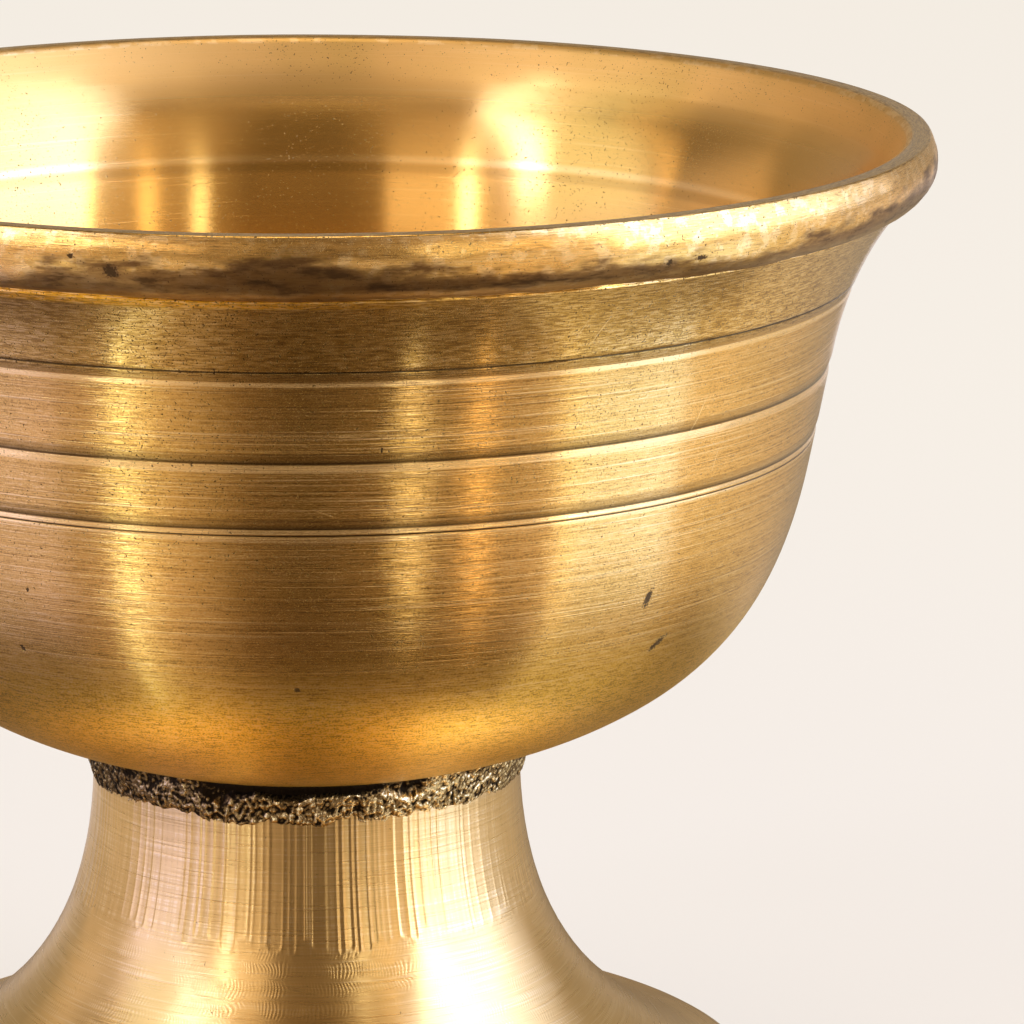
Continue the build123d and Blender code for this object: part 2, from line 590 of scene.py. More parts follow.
    def material(self) -> bpy.types.Material:
        """The finish as a material.

        Tool lines are the places where noise that is drawn out round the axis passes its middle. Finer lines,
        dashes and grain are plain noise, specks are the peaks of noise, and the dirt on the rim follows the
        mesh's stain value, which is the distance into the stain.

        Returns:
            The material.
        """
        material, graph = new_material(self.name)
        place = graph.place()
        across, _, level = graph.axes()
        # Parts of the bowl
        inside, stain = graph.trace(Trace.CALM), graph.trace(Trace.STAIN)
        outside = 1.0 - inside
        rim = self.rim_edge.of(graph, stain)
        flare = self.flare_edge.of(graph, level) * outside
        cast = self.cast_edge.of(graph, level)
        lip = self.lip_edge.of(graph, level) * inside
        # Marks of the tool
        drawn = (1.0 - flare * self.flare_calm) * (1.0 - cast * self.cast_calm)
        drawn = drawn * (1.0 - inside * self.inside_calm)
        lines = self.line_edge.of(graph, graph.math(Op.ABSOLUTE, self.lines.of(graph)))
        lines = lines * self.break_edge.of(graph, self.breaks.of(graph)) * drawn
        fine = self.fine.of(graph) * drawn
        micro = self.micro.of(graph) * drawn
        dashes = self.dashes.of(graph)
        clouds = self.clouds.of(graph)
        # Grain, specks and mottling
        grain, crumbs = self.grain.of(graph, place), self.crumbs.of(graph, place)
        bloom = self.bloom.of(graph, place)
        # Painted highlights in patches on the rim.
        patches = self.rim_highlight_edge.of(graph, self.patches.of(graph, place)) * rim
        mottle = fine * self.fine_tone + grain * (self.grain_tone + cast * self.cast_grain_tone)
        mottle = mottle + dashes * (
            self.dash_tone + flare * self.flare_dash_tone + cast * self.cast_dash_tone)
        mottle = mottle * (1.0 - inside * self.inside_even) * (1.0 - rim * self.rim_even)
        specks = crumbs + bloom * self.flaw_bloom + flare * (1.0 - rim) * self.flare_flaws
        flaws = self.flaw_edge.of(graph, specks)
        pits = self.spotted(graph, place, self.pits, crumbs * self.pit_ragged)
        scratches = self.spotted(graph, place, self.scratches, grain * self.scratch_ragged)
        # Stain on the rim; painted highlights, shade and shadow lines of the grooves; the chin; and the
        # painted glow in the crease
        drop = self.rim_level - level + bloom * self.line_waver
        ledge_highlights, groove_shade, groove_shadows = (self.banded(graph, drop, bands) * outside
                              for bands in (self.ledge_highlights, self.groove_shade, self.groove_shadows))
        chin = self.chin_edge.of(graph, drop) * rim
        stained = self.stain_edge.of(graph, stain + clouds * self.stain_ragged)
        stained = stained * (self.stain_strength + clouds * self.stain_clouds)
        stained = stained * (1.0 - chin * self.chin_clean)
        deep = self.deep_edge.of(graph, stain + clouds * self.deep_ragged)
        deep = deep * self.deep_clouds.of(graph, clouds)
        soiled = graph.most(deep * (1.0 - chin * self.chin_deep_clean), groove_shade)
        crease = self.crease.mask(graph, drop) * outside * self.crease_side.of(graph, across)
        # Colour. Painted light in it: the amber reflection on the dome, the glow in the crease, highlights in
        # patches on the rim and on the tool lines, groove ledges and inner line, shade and shadow lines in
        # the grooves and under the inner line, and the flare's reflection on the chin
        # On the chin the olive is a painted reflection of the flare; on the flare it is the brass's own tint.
        olive = graph.most(flare * (1.0 - rim) * self.flare_olive, chin * self.chin_reflection)
        colour = graph.mix(graph.most(self.bloom_olive.of(graph, bloom), olive), self.brass, self.olive)
        for amount, over in (
            (cast * self.cast_reflection, self.amber_reflection),
            (crease, self.crease_glow),
            (patches, self.bright),
            (self.dark_mottle.of(graph, mottle), self.umber),
            (self.pale_mottle.of(graph, mottle), self.bright),
            (graph.most(lines * self.line_highlight, ledge_highlights), self.bright),
            (stained, self.rust),
            (soiled, self.tarnish),
            (groove_shadows, self.shadow_colour),
            (self.inner_highlight.mask(graph, drop) * inside, self.bright),
            (self.inner_shade.mask(graph, drop) * inside, self.umber),
            (flaws, self.flaw),
            (pits * (self.pit_strength + clouds * self.pit_clouds), self.pit),
            (scratches * self.scratch_bright, self.bright),
        ):
            colour = graph.mix(amount, colour, over)
        # Height and gloss
        height = lines * self.line_height + fine * self.fine_height + micro * self.micro_height
        dashed = (1.0 - flare * self.flare_dash_calm) * (1.0 - inside * self.inside_calm)
        height = height + dashes * dashed * self.dash_height
        height = height + grain * self.grain_height + clouds * rim * self.rim_height
        height = height - flaws * self.flaw_depth - pits * self.pit_depth - scratches * self.scratch_depth
        shine = (soiled + stained) * self.dirt_rough + flaws * self.flaw_rough + pits * self.pit_rough
        shine = shine + inside * self.inside_rough
        shared = {"Base Color": colour, "Metallic": 1.0 - pits * self.pit_dullness,
                  "Normal": graph.bump(height)}
        turned = graph.node("ShaderNodeBsdfPrincipled", inputs={
            **shared, "Roughness": shine + self.roughness,
            "Anisotropic": self.anisotropy, "Anisotropic Rotation": self.across_the_lines})
        plain_shine = shine + self.cast_roughness - rim * self.rim_gloss + lip * self.lip_rough
        plain = graph.node("ShaderNodeBsdfPrincipled", inputs={**shared, "Roughness": plain_shine})
        plainness = graph.most(graph.most(cast, lip), graph.most(rim, crease))
        graph.surface(graph.node("ShaderNodeMixShader", inputs={
            0: plainness, 1: graph.wire(turned), 2: graph.wire(plain)}))
        return material


@dataclass(frozen=True)
class ScrapedBrass:
    """Brass scraped down the neck by hand and then turned below, with ripples where the tool shook."""

    name: str = "scraped_brass"
    # Colours
    brass: Colour = (0.80, 0.54, 0.22)
    bright: Colour = (0.95, 0.74, 0.42)
    olive: Colour = (0.55, 0.36, 0.13)
    tarnish: Colour = (0.15, 0.09, 0.04)
    # Lines round the axis, and streaks down the neck
    lines: TurnedMarks = TurnedMarks(7.0, 0.14, 2.0, 0.6)
    line_height: float = 0.02
    streak_width: float = 0.2
    streak_length: float = 7.0
    streaks: Noise = Noise(1.0, 2.0)
    streak_height: float = 0.005
    neck_radius: float = 13.8
    neck_edge: Ramp = Ramp(15.7, 17.2)
    # Ripples in rows below the neck, stirred by noise that also leaves out patches of them
    ripples_round: float = 460.0
    ripple_height: float = 0.0024
    row_height: float = 1.3
    row_edge: Ramp = Ramp(0.25, 0.05)
    crescent: float = 18.0
    stir_scale: float = 0.35
    stir_detail: float = 2.0
    row_stir: float = 1.5
    ripple_stir: float = 40.0
    ripple_patches: Ramp = Ramp(0.35, 0.6)
    # Light and dark marks, clouds of colour, specks and the darkening just under the solder
    line_tone: float = 1.1
    streak_tone: float = 0.8
    ripple_tone: float = 0.12
    dark_marks: Ramp = Ramp(-0.04, -0.25, 0.45)
    pale_marks: Ramp = Ramp(0.04, 0.25, 0.5)
    bloom: Noise = Noise(7.0, 3.0)
    bloom_olive: Ramp = Ramp(-0.1, 0.22, 0.5)
    specks: Noise = Noise(1 / 2.6, 2.0, 0.6, 0.8)
    speck_edge: Ramp = Ramp(0.22, 0.27, 0.7)
    recess_darkening: float = 0.6
    # Gloss, and what changes it
    roughness: float = 0.29
    line_rough: float = 0.12
    dirt_rough: float = 0.2
    anisotropy: float = 0.8
    across_the_lines: float = 0.25

    def material(self) -> bpy.types.Material:
        """The finish as a material.

        Fine lines are noise drawn out round the axis and streaks are noise drawn out down the neck. Ripples
        are crescents in rows: the sine of the azimuth times their number plus a share of v * v, where v goes
        from -0.5 to 0.5 across a row.

        Returns:
            The material.
        """
        material, graph = new_material(self.name)
        place = graph.place()
        neck = self.neck_edge.of(graph, graph.axes()[2])
        lines = self.lines.of(graph)
        down = graph.scraped(self.streak_width, self.streak_length, self.neck_radius)
        streaks = self.streaks.of(graph, down) * neck
        stir = graph.noise(place, self.stir_scale, self.stir_detail)
        row = graph.trace(Trace.ALONG) * (1 / self.row_height) + stir * self.row_stir
        v = graph.math(Op.FRACTION, row) - 0.5
        phase = graph.azimuth() * self.ripples_round + v * v * self.crescent + stir * self.ripple_stir
        shaken = (1.0 - neck) * self.row_edge.of(graph, v * v) * self.ripple_patches.of(graph, stir)
        ripples = graph.math(Op.SINE, phase) * shaken
        specks = self.speck_edge.of(graph, self.specks.of(graph, place))
        soiled = graph.most(graph.trace(Trace.RECESS) * self.recess_darkening, specks)
        marks = lines * self.line_tone + streaks * self.streak_tone + ripples * self.ripple_tone
        colour = graph.mix(self.bloom_olive.of(graph, self.bloom.of(graph, place)), self.brass, self.olive)
        colour = graph.mix(self.dark_marks.of(graph, marks), colour, self.olive)
        colour = graph.mix(self.pale_marks.of(graph, marks), colour, self.bright)
        colour = graph.mix(soiled, colour, self.tarnish)
        height = lines * self.line_height + streaks * self.streak_height + ripples * self.ripple_height
        graph.surface(graph.node("ShaderNodeBsdfPrincipled", inputs={
            "Base Color": colour, "Metallic": 1.0, "Normal": graph.bump(height),
            "Roughness": self.roughness + lines * self.line_rough + soiled * self.dirt_rough,
            "Anisotropic": self.anisotropy, "Anisotropic Rotation": self.across_the_lines}))
        return material


@dataclass(frozen=True)
class CrustedSolder:
    """Old solder: lumps like crumpled foil with painted glints on their tops, over a dark crust with dirt and
    painted shade low between them.
    """

    name: str = "crusted_solder"
    # The bright colour is painted glint on the bead tops.
    bright: Colour = (0.92, 0.76, 0.46)
    dull: Colour = (0.36, 0.24, 0.1)
    dirt_and_shade: Colour = (0.02, 0.013, 0.007)
    foil: Noise = Noise(1 / 3.6, 2.0, 0.6, 0.6)
    foil_height: float = 0.035
    foil_crest: float = 0.5
    dull_edge: Ramp = Ramp(0.12, 0.34)
    glint_edge: Ramp = Ramp(0.3, 0.6)
    roughness: float = 0.17
    low_rough: Ramp = Ramp(0.45, 0.1, 0.4)

    def material(self) -> bpy.types.Material:
        """The finish as a material: dirt and painted shade low between the lumps, dull metal above it,
        painted glints on the tops.

        Returns:
            The material.
        """
        material, graph = new_material(self.name)
        foil = self.foil.of(graph, graph.place())
        crest = graph.trace(Trace.CREST) + foil * self.foil_crest
        colour = graph.mix(self.dull_edge.of(graph, crest), self.dirt_and_shade, self.dull)
        colour = graph.mix(self.glint_edge.of(graph, crest), colour, self.bright)
        graph.surface(graph.node("ShaderNodeBsdfPrincipled", inputs={
            "Base Color": colour, "Metallic": 1.0, "Normal": graph.bump(foil * self.foil_height),
            "Roughness": self.roughness + self.low_rough.of(graph, crest)}))
        return material


@dataclass(frozen=True)
class Glow:
    """A card of the studio that goes from one colour to another across its width."""

    name: str
    colour: Colour
    end_colour: Colour

    def material(self) -> bpy.types.Material:
        """A material that gives off its colour and reflects nothing.

        Returns:
            The material.
        """
        material, graph = new_material(self.name)
        colour = graph.mix(graph.trace(Trace.COVER), self.colour, self.end_colour)
        graph.surface(graph.node("ShaderNodeEmission", inputs={"Color": colour}))
        return material


@dataclass(frozen=True)
class Shade:
    """A dark sheet that is clear where its cover is 0."""

    name: str
    colour: Colour

    def material(self) -> bpy.types.Material:
        """A material that goes from clear to its colour with the mesh's cover.

        Returns:
            The material.
        """
        material, graph = new_material(self.name)
        clear = graph.node("ShaderNodeBsdfTransparent")
        dark = graph.node("ShaderNodeEmission", inputs={"Color": (*self.colour, 1.0)})
        graph.surface(graph.node("ShaderNodeMixShader", inputs={
            0: graph.trace(Trace.COVER), 1: graph.wire(clear), 2: graph.wire(dark)}))
        return material


@dataclass(frozen=True)
class PalePaper:
    """The pale paper under the lamp, with some light of its own, less of it close to the lamp's shadow."""

    name: str = "pale_paper"
    colour: Colour = (0.945, 0.885, 0.8)
    sheet: Colour = (0.86, 0.78, 0.64)
    away: Ramp = Ramp(50.0, 260.0)
    near_light: float = 0.7
    own_light: float = 0.9
    mirrored_light: float = 0.2

    def material(self) -> bpy.types.Material:
        """Paper that takes shadows, brightened for camera rays and less for glossy and transmission rays.

        Returns:
            The material.
        """
        material, graph = new_material(self.name)
        path = graph.node("ShaderNodeLightPath")
        camera, glossy, clear = (graph.wire(path, ray) for ray in (
            "Is Camera Ray", "Is Glossy Ray", "Is Transmission Ray"))
        reach = graph.node("ShaderNodeVectorMath", {"operation": "LENGTH"}, {0: graph.place()})
        away = self.away.of(graph, graph.wire(reach, "Value"))
        own = away * (self.own_light - self.near_light) + self.near_light
        seen = camera * own + (glossy + clear) * self.mirrored_light
        paper = graph.node("ShaderNodeBsdfDiffuse", inputs={"Color": (*self.sheet, 1.0)})
        light = graph.node("ShaderNodeEmission", inputs={"Color": (*self.colour, 1.0)})
        graph.surface(graph.node("ShaderNodeMixShader", inputs={
            0: seen, 1: graph.wire(paper), 2: graph.wire(light)}))
        return material


@dataclass(frozen=True)
class Grain:
    """Smooth random values on a lattice that closes on itself round the axis."""

    seed: int
    around: int
    pitch: float

    def at(self, angle: np.ndarray, along: np.ndarray) -> np.ndarray:
        """Random values on a grid.

        The four lattice values round a point are blended by u * u * (3 - 2 * u) in both directions.

        Args:
            angle: angle round the axis in radians, one per column.
            along: distance along the outline, one per row.

        Returns:
            Values from -1 to 1, rows by columns.
        """
        high = along / self.pitch - np.min(along) / self.pitch
        lattice = np.random.default_rng(self.seed).uniform(-1, 1, (int(np.max(high)) + 2, self.around))
        wide = angle / (2 * np.pi) * self.around
        row, column = np.floor(high).astype(int), np.floor(wide).astype(int)
        up, side = (u * u * (3 - 2 * u) for u in (high - row, wide - column))
        left, right = column % self.around, (column + 1) % self.around
        low, top = (lattice[np.ix_(r, left)] * (1 - side) + lattice[np.ix_(r, right)] * side
                    for r in (row, row + 1))
        return low * (1 - up)[:, None] + top * up[:, None]


@dataclass(frozen=True)
class Beads:
    """Round beads scattered one to a cell, on cells that close on themselves round the axis."""

    seed: int
    around: int
    pitch: float
    radius: float = 0.75
    smallest: float = 0.55

    def at(self, angle: np.ndarray, along: np.ndarray) -> np.ndarray:
        """Height of the highest bead over each point of a grid.

        A bead is 1 - (d / r) ** 2 at the distance d from its middle, and the middles are drawn at random.

        Args:
            angle: angle round the axis in radians, one per column.
            along: distance along the outline, one per row.

        Returns:
            Heights from 0 to 1, rows by columns.
        """
        high = (along - np.min(along)) / self.pitch + 1
        wide = angle / (2 * np.pi) * self.around
        row, column = np.floor(high).astype(int), np.floor(wide).astype(int)
        draw = np.random.default_rng(self.seed)
        shape = (int(np.max(high)) + 3, self.around)
        up, side = draw.uniform(0, 1, shape), draw.uniform(0, 1, shape)
        size = draw.uniform(self.smallest, 1, shape)
        best = np.zeros((len(along), len(angle)))
        for step_up in (-1, 0, 1):
            for step_side in (-1, 0, 1):
                cell = np.ix_(row + step_up, (column + step_side) % self.around)
                above = (row + step_up)[:, None] + up[cell] - high[:, None]
                beside = (column + step_side)[None, :] + side[cell] - wide[None, :]
                reach = (self.radius * size[cell]) ** 2
                best = np.maximum(best, size[cell] * (1 - (above**2 + beside**2) / reach))
        return best


def bezier(points: Sequence[np.ndarray], count: int) -> np.ndarray:
    """Points on a cubic curve: the four given points weighted by the cubic Bernstein polynomials.

    Args:
        points: start, two arms and end, as (radius, height).
        count: how many points.

    Returns:
        The points, one per row.
    """
    t = np.linspace(0, 1, count)[:, None]
    start, out, back, end = (np.asarray(p, float) for p in points)
    return start * (1 - t)**3 + out * 3 * t * (1 - t)**2 + back * 3 * t * t * (1 - t) + end * t**3


def heading(angle: float) -> np.ndarray:
    """Direction in an outline, leaning outwards by an angle in degrees from straight up."""
    return np.array([np.sin(np.radians(angle)), np.cos(np.radians(angle))])


def around(count: int) -> np.ndarray:
    """Angles in radians of evenly spaced columns round the axis, counted from +X."""
    return np.arange(count) / count * 2 * np.pi


def straight(start: Sequence[float], end: Sequence[float], count: int) -> np.ndarray:
    """Evenly spaced points on a straight line."""
    return np.linspace(np.asarray(start, float), np.asarray(end, float), count)


def rounded(corners: Sequence[Sequence[float]], cuts: Sequence[float], count: int) -> np.ndarray:
    """A line through corners that are rounded off.

    Each inner corner is replaced by a parabola that starts and ends the cut length away from it.

    Args:
        corners: the corners, as (radius, height).
        cuts: for each inner corner, how far from it the rounding starts.
        count: points on each rounding.

    Returns:
        The points, one per row.
    """
    corners = np.asarray(corners, float)
    t = np.linspace(0, 1, count)[:, None]
    parts = [corners[:1]]
    for before, corner, after, cut in zip(corners, corners[1:], corners[2:], cuts):
        start = corner + (before - corner) * cut / np.linalg.norm(before - corner)
        end = corner + (after - corner) * cut / np.linalg.norm(after - corner)
        parts.append(start * (1 - t)**2 + corner * 2 * t * (1 - t) + end * t**2)
    return np.concatenate(parts + [corners[-1:]])


def distance(path: np.ndarray) -> np.ndarray:
    """Distance along a path from its start to each of its points."""
    steps = np.linalg.norm(np.diff(path, axis=0), axis=1)
    return np.concatenate([[0.0], np.cumsum(steps)])


def resample(path: np.ndarray, count: int, focus: Sequence[Tuple[float, float, float]] = ()) -> np.ndarray:
    """Points along a path, closer together near places that need them.

    The density is 1 + sum(pull * exp(-((s - place) / width) ** 2)) at the distance s along the path.

    Args:
        path: a fine path.
        count: how many points to take.
        focus: place along the path, width and pull of each place that gets more points.

    Returns:
        The points, one per row.
    """
    path = path[np.concatenate([[True], np.diff(distance(path)) > LEAST_STEP])]
    fine = np.linspace(0, distance(path)[-1], FINE_STEPS)
    density = 1 + sum((pull * np.exp(-((fine - place) / width)**2) for place, width, pull in focus), 0 * fine)
    total = np.concatenate([[0.0], np.cumsum(density[1:])])
    stations = np.interp(np.linspace(0, total[-1], count), total, fine)
    return np.stack([np.interp(stations, distance(path), path[:, axis]) for axis in (0, 1)], axis=1)


def outward(path: np.ndarray) -> np.ndarray:
    """Directions at right angles to a path, on its right when it goes up.

    Args:
        path: the path, as (radius, height).

    Returns:
        Unit vectors, one per row.
    """
    along = np.gradient(path, axis=0)
    along = along / np.linalg.norm(along, axis=1)[:, None]
    return np.stack([along[:, 1], -along[:, 0]], axis=1)


def fade(value: np.ndarray, low: float, high: float) -> np.ndarray:
    """Goes smoothly from 0 where the value is low to 1 where it is high."""
    u = np.clip((value - low) / (high - low), 0, 1)
    return u * u * (3 - 2 * u)


def azimuth_of(angle: np.ndarray) -> np.ndarray:
    """Azimuth in degrees from -180 to 180 of angles round the axis that are counted from +X."""
    return (np.degrees(angle) + 90 + 180) % 360 - 180


def about_lamp(azimuth: np.ndarray, radius: Union[np.ndarray, float],
               height: Union[np.ndarray, float]) -> np.ndarray:
    """Points about the lamp's axis: (r sin a, -r cos a, z), with rows that differ in radius or height.

    Args:
        azimuth: azimuth of each column.
        radius: distance from the axis, one for all or one per row.
        height: height, one for all or one per row.

    Returns:
        Points, rows by columns by 3.
    """
    angle, radius, height = np.broadcast_arrays(np.radians(azimuth), radius, height)
    return np.stack([radius * np.sin(angle), -radius * np.cos(angle), height], axis=-1)


def grid_mesh(name: str, points: np.ndarray, round_axis: bool, loop: bool,
              traces: Dict[Trace, np.ndarray]) -> bpy.types.Object:
    """Makes an object of a grid of points.

    Faces join neighbouring rows and columns. Where the outline isn't a loop, the first and last rows of a
    turned grid lie on the axis, and each is one point with a fan of triangles.

    Args:
        name: the object's name.
        points: rows by columns by 3, in millimetres.
        round_axis: whether the last column joins the first.
        loop: whether the last row joins the first.
        traces: values for the points, rows by columns.

    Returns:
        The object, at the origin.
    """
    rows, columns = points.shape[:2]
    number = np.arange(rows * columns).reshape(rows, columns)
    fans: List[List[int]] = []
    if round_axis and not loop:
        number[0], number[-1] = number[0, 0], number[-1, 0]
    right = np.roll(number, -1, axis=1) if round_axis else number[:, 1:]
    left = number if round_axis else number[:, :-1]
    low, up = (left, np.roll(left, -1, axis=0)) if loop else (left[:-1], left[1:])
    low_right, up_right = (right, np.roll(right, -1, axis=0)) if loop else (right[:-1], right[1:])
    quads = np.stack([low, low_right, up_right, up], axis=-1)
    if round_axis and not loop:
        fans = quads[0][:, [0, 2, 3]].tolist() + quads[-1][:, [0, 1, 2]].tolist()
        quads = quads[1:-1]
    used = np.unique(number)
    compact = np.zeros(rows * columns, int)
    compact[used] = np.arange(len(used))
    faces = compact[quads.reshape(-1, 4)].tolist() + [[int(compact[i]) for i in fan] for fan in fans]
    mesh = bpy.data.meshes.new(name)
    mesh.from_pydata((points.reshape(-1, 3)[used] * MM).tolist(), [], faces)
    mesh.polygons.foreach_set("use_smooth", np.ones(len(mesh.polygons), bool))
    for trace, values in traces.items():
        layer = mesh.attributes.new(trace.value, "FLOAT", "POINT")
        spread = np.broadcast_to(values, (rows, columns)).reshape(-1)[used]
        layer.data.foreach_set("value", spread.astype(np.float32))
    mesh.validate()
    mesh.update()
    made = bpy.data.objects.new(name, mesh)
    bpy.context.scene.collection.objects.link(made)
    return made


def turn(path: np.ndarray, angle: np.ndarray, swell: np.ndarray) -> np.ndarray:
    """Points of an outline turned about the Z axis.

    A point is (r cos a, r sin a, z), where r and z are the outline's plus the swell times its outward side.

    Args:
        path: the outline, as (radius, height).
        angle: angle of each column in radians.
        swell: how far each point stands out, rows by columns.

    Returns:
        Points, rows by columns by 3.
    """
    side = outward(path)
    radius = path[:, :1] + side[:, :1] * swell
    height = path[:, 1:] + side[:, 1:] * swell
    return np.stack([radius * np.cos(angle), radius * np.sin(angle), height], axis=-1)


def dress(piece: bpy.types.Object, node: str, finish: bpy.types.Material) -> bpy.types.Object:
    """Puts a piece in the place of a CAD node.

    Args:
        piece: the new piece.
        node: the CAD node that it stands for.
        finish: its material.

    Returns:
        The piece.
    """
    piece.data.materials.append(finish)
    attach(piece, BODY)
    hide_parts(node)
    triangles = sum(len(face.vertices) - 2 for face in piece.data.polygons)
    log.info("%s: %d triangles, finish %s", piece.name, triangles, finish.name)
    return piece


@dataclass(frozen=True)
class Groove:
    """A turned groove: its middle below the rim, its size, where its deepest line is and the burr below it.

    The mesh gets more rows there, by the pull.
    """

    drop: float
    width: float
    depth: float
    lean: float = 0.0
    burr: float = 0.0
    pull: float = 7.0
    sharpness: float = 1.15
    burr_place: float = 1.15
    burr_width: float = 0.25

    def cut(self, drop: np.ndarray) -> np.ndarray:
        """How far the groove moves the surface at a depth below the rim.

        With v from -1 to 1 across the groove and w the distance from its deepest line as a share of that
        side's width, it is -depth * (1 - w) ** sharpness, plus a burr of bell shape below the groove.

        Args:
            drop: depth below the rim.

        Returns:
            Movement outwards, which is negative in the groove.
        """
        v = (drop - self.drop) / (self.width / 2)
        w = np.abs(v - self.lean) / np.where(v > self.lean, 1 - self.lean, 1 + self.lean)
        burr = self.burr * np.exp(-((v - self.burr_place) / self.burr_width)**2)
        return burr - self.depth * np.clip(1 - w, 0, 1)**self.sharpness


@dataclass(frozen=True)
class Bowl:
    """The cup: a thick worn rim, a flare, a wall with turned grooves, a domed underside and a spigot."""

    # Outside: the land on the neck, the dome, the wall and the flare
    land_z: float = 26.702
    land_radius: float = 13.0
    dome_height: float = 18.8
    dome_angle: float = 15.3
    dome_wall_arm: float = 11.0
    dome_floor_arm: float = 12.4
    wall_height: float = 7.5
    wall_taper: float = 11.2
    waist_radius: float = 33.7
    flare_height: float = 9.5
    flare_angle: float = 41.5
    flare_upper_arm: float = 3.5
    flare_lower_arm: float = 3.3
    flare_top_radius: float = 38.1
    # Rim, with its undercut
    rim_radius: float = 40.0
    rim_height: float = 4.0
    rim_bulge: float = 0.5
    rim_top_width: float = 1.3
    rim_brow_angle: float = 139.0
    rim_brow_arm: float = 1.6
    rim_chin_angle: float = 87.0
    rim_chin_arm: float = 1.8
    rim_inner_round: float = 0.4
    undercut: float = 0.25
    undercut_sweep: Tuple[float, float] = (228, 3)
    # Inside, wick hole and spigot
    wall_thickness: float = 1.8
    floor_thickness: float = 1.2
    floor_outer_arm: float = 5.0
    floor_inner_arm: float = 6.0
    corner_cut: float = 0.2
    wick_hole_radius: float = 1.5
    wick_hole_depth: float = 6.0
    spigot_radius: float = 8.0
    spigot_length: float = 7.0
    spigot_chamfer: float = 0.6
    # How fine the curves and the mesh are, and where rows are closer together: place, width and pull
    dome_points: int = 400
    wall_points: int = 120
    flare_points: int = 300
    face_points: int = 200
    arc_points: int = 9
    corner_points: int = 4
    columns: int = 480
    outer_rows: int = 108
    rim_rows: int = 40
    inner_rows: int = 26
    undercut_focus: Triple = (0.4, 0.5, 3.0)
    edge_focus: Tuple[float, float] = (0.25, 5.0)
    inner_focus: Triple = (3.4, 1.2, 4.0)
    groove_focus: float = 0.6
    level_tolerance: float = 0.01
    # Dents and chips on the rim's face, and waves everywhere
    dents: Grain = Grain(3, 56, 1.8)
    small_dents: Grain = Grain(4, 120, 1.0)
    dent_depth: float = 0.08
    chips: Grain = Grain(8, 360, 0.5)
    chip_depth: float = 0.016
    waves: Grain = Grain(5, 26, 9.0)
    small_waves: Grain = Grain(6, 60, 5.0)
    waviness: float = 0.01
    small_share: float = 0.5
    groove_grain: Grain = Grain(7, 40, 3.0)
    groove_waver: float = 0.25
    face_start: float = 0.1
    face_full: float = 0.9
    face_width: float = 1.5
    top_tolerance: float = 0.05
    # Grooves, and the height of the stain on the rim by azimuth
    grooves: Tuple[Groove, ...] = (
        Groove(drop=8.84, width=0.16, depth=0.06, pull=18.0),
        Groove(drop=9.34, width=0.88, depth=0.07, lean=0.35, pull=9.0),
        Groove(drop=14.58, width=1.22, depth=0.13, lean=0.16, pull=7.0),
        Groove(drop=18.54, width=0.98, depth=0.09, lean=0.46, pull=8.0),
        Groove(drop=19.13, width=0.18, depth=0.05, burr=0.02, pull=18.0),
    )
    inner_groove: Groove = Groove(drop=7.9, width=1.1, depth=0.06, lean=0.2, burr=0.03)
    stain_azimuths: Tuple[float, ...] = (
        -180, -120, -80, -50, -30, -25, -22, -8, -4, 1, 5, 10, 18, 26, 40, 58, 80, 120, 180)
    stain_heights: Tuple[float, ...] = (
        2.2, 2.8, 1.6, 2.0, 0.6, 0.8, 2.4, 2.4, 3.0, 2.9, 2.5, 2.3, 1.7, 2.0, 1.2, 2.0, 3.2, 2.6, 2.2)

    @property
    def rim_z(self) -> float:
        """Height of the rim."""
        return self.land_z + self.dome_height + self.wall_height + self.flare_height + self.rim_height

    def outer(self) -> np.ndarray:
        """Outside of the cup from the land under it to the crease under the rim: dome, wall and flare.

        The dome and the flare are cubic curves, and the wall between them is straight.

        Returns:
            The points, as (radius, height).
        """
        wall_foot_z = self.land_z + self.dome_height
        waist = np.array([self.waist_radius, wall_foot_z + self.wall_height])
        up_wall, up_flare = heading(self.wall_taper), heading(self.flare_angle)
        off_land = heading(90 - self.dome_angle)
        wall_foot = waist - up_wall * self.wall_height / up_wall[1]
        land = np.array([self.land_radius, self.land_z])
        flare_top = np.array([self.flare_top_radius, waist[1] + self.flare_height])
        dome = bezier([land, land + off_land * self.dome_floor_arm, wall_foot - up_wall * self.dome_wall_arm,
                       wall_foot], self.dome_points)
        flare = bezier([waist, waist + up_wall * self.flare_lower_arm,
                        flare_top - up_flare * self.flare_upper_arm, flare_top], self.flare_points)
        return np.concatenate([dome, straight(wall_foot, waist, self.wall_points)[1:-1], flare])

    def rim(self, inner_top: np.ndarray) -> np.ndarray:
        """The rim from the undercut beneath it, up its bulging face and over its flat top to the inside.

        The undercut is an arc about the crease, the face is a cubic curve and the top is straight.

        Args:
            inner_top: where the inside starts.

        Returns:
            The points, as (radius, height).
        """
        crease = np.array([self.flare_top_radius, self.rim_z - self.rim_height])
        edge = np.array([self.rim_radius - self.rim_bulge, self.rim_z])
        face = bezier([crease, crease + self.rim_chin_arm * heading(self.rim_chin_angle),
                       edge + self.rim_brow_arm * heading(self.rim_brow_angle), edge], self.face_points)
        face = face[np.linalg.norm(face - crease, axis=1) > self.undercut]
        sweep = np.radians(np.linspace(*self.undercut_sweep, self.arc_points))[:-1]
        channel = crease + self.undercut * np.stack([np.cos(sweep), np.sin(sweep)], axis=1)
        top = rounded([edge, (edge[0] - self.rim_top_width, self.rim_z), inner_top],
                      (self.rim_inner_round,), self.arc_points)
        return np.concatenate([channel, face, top[1:]])

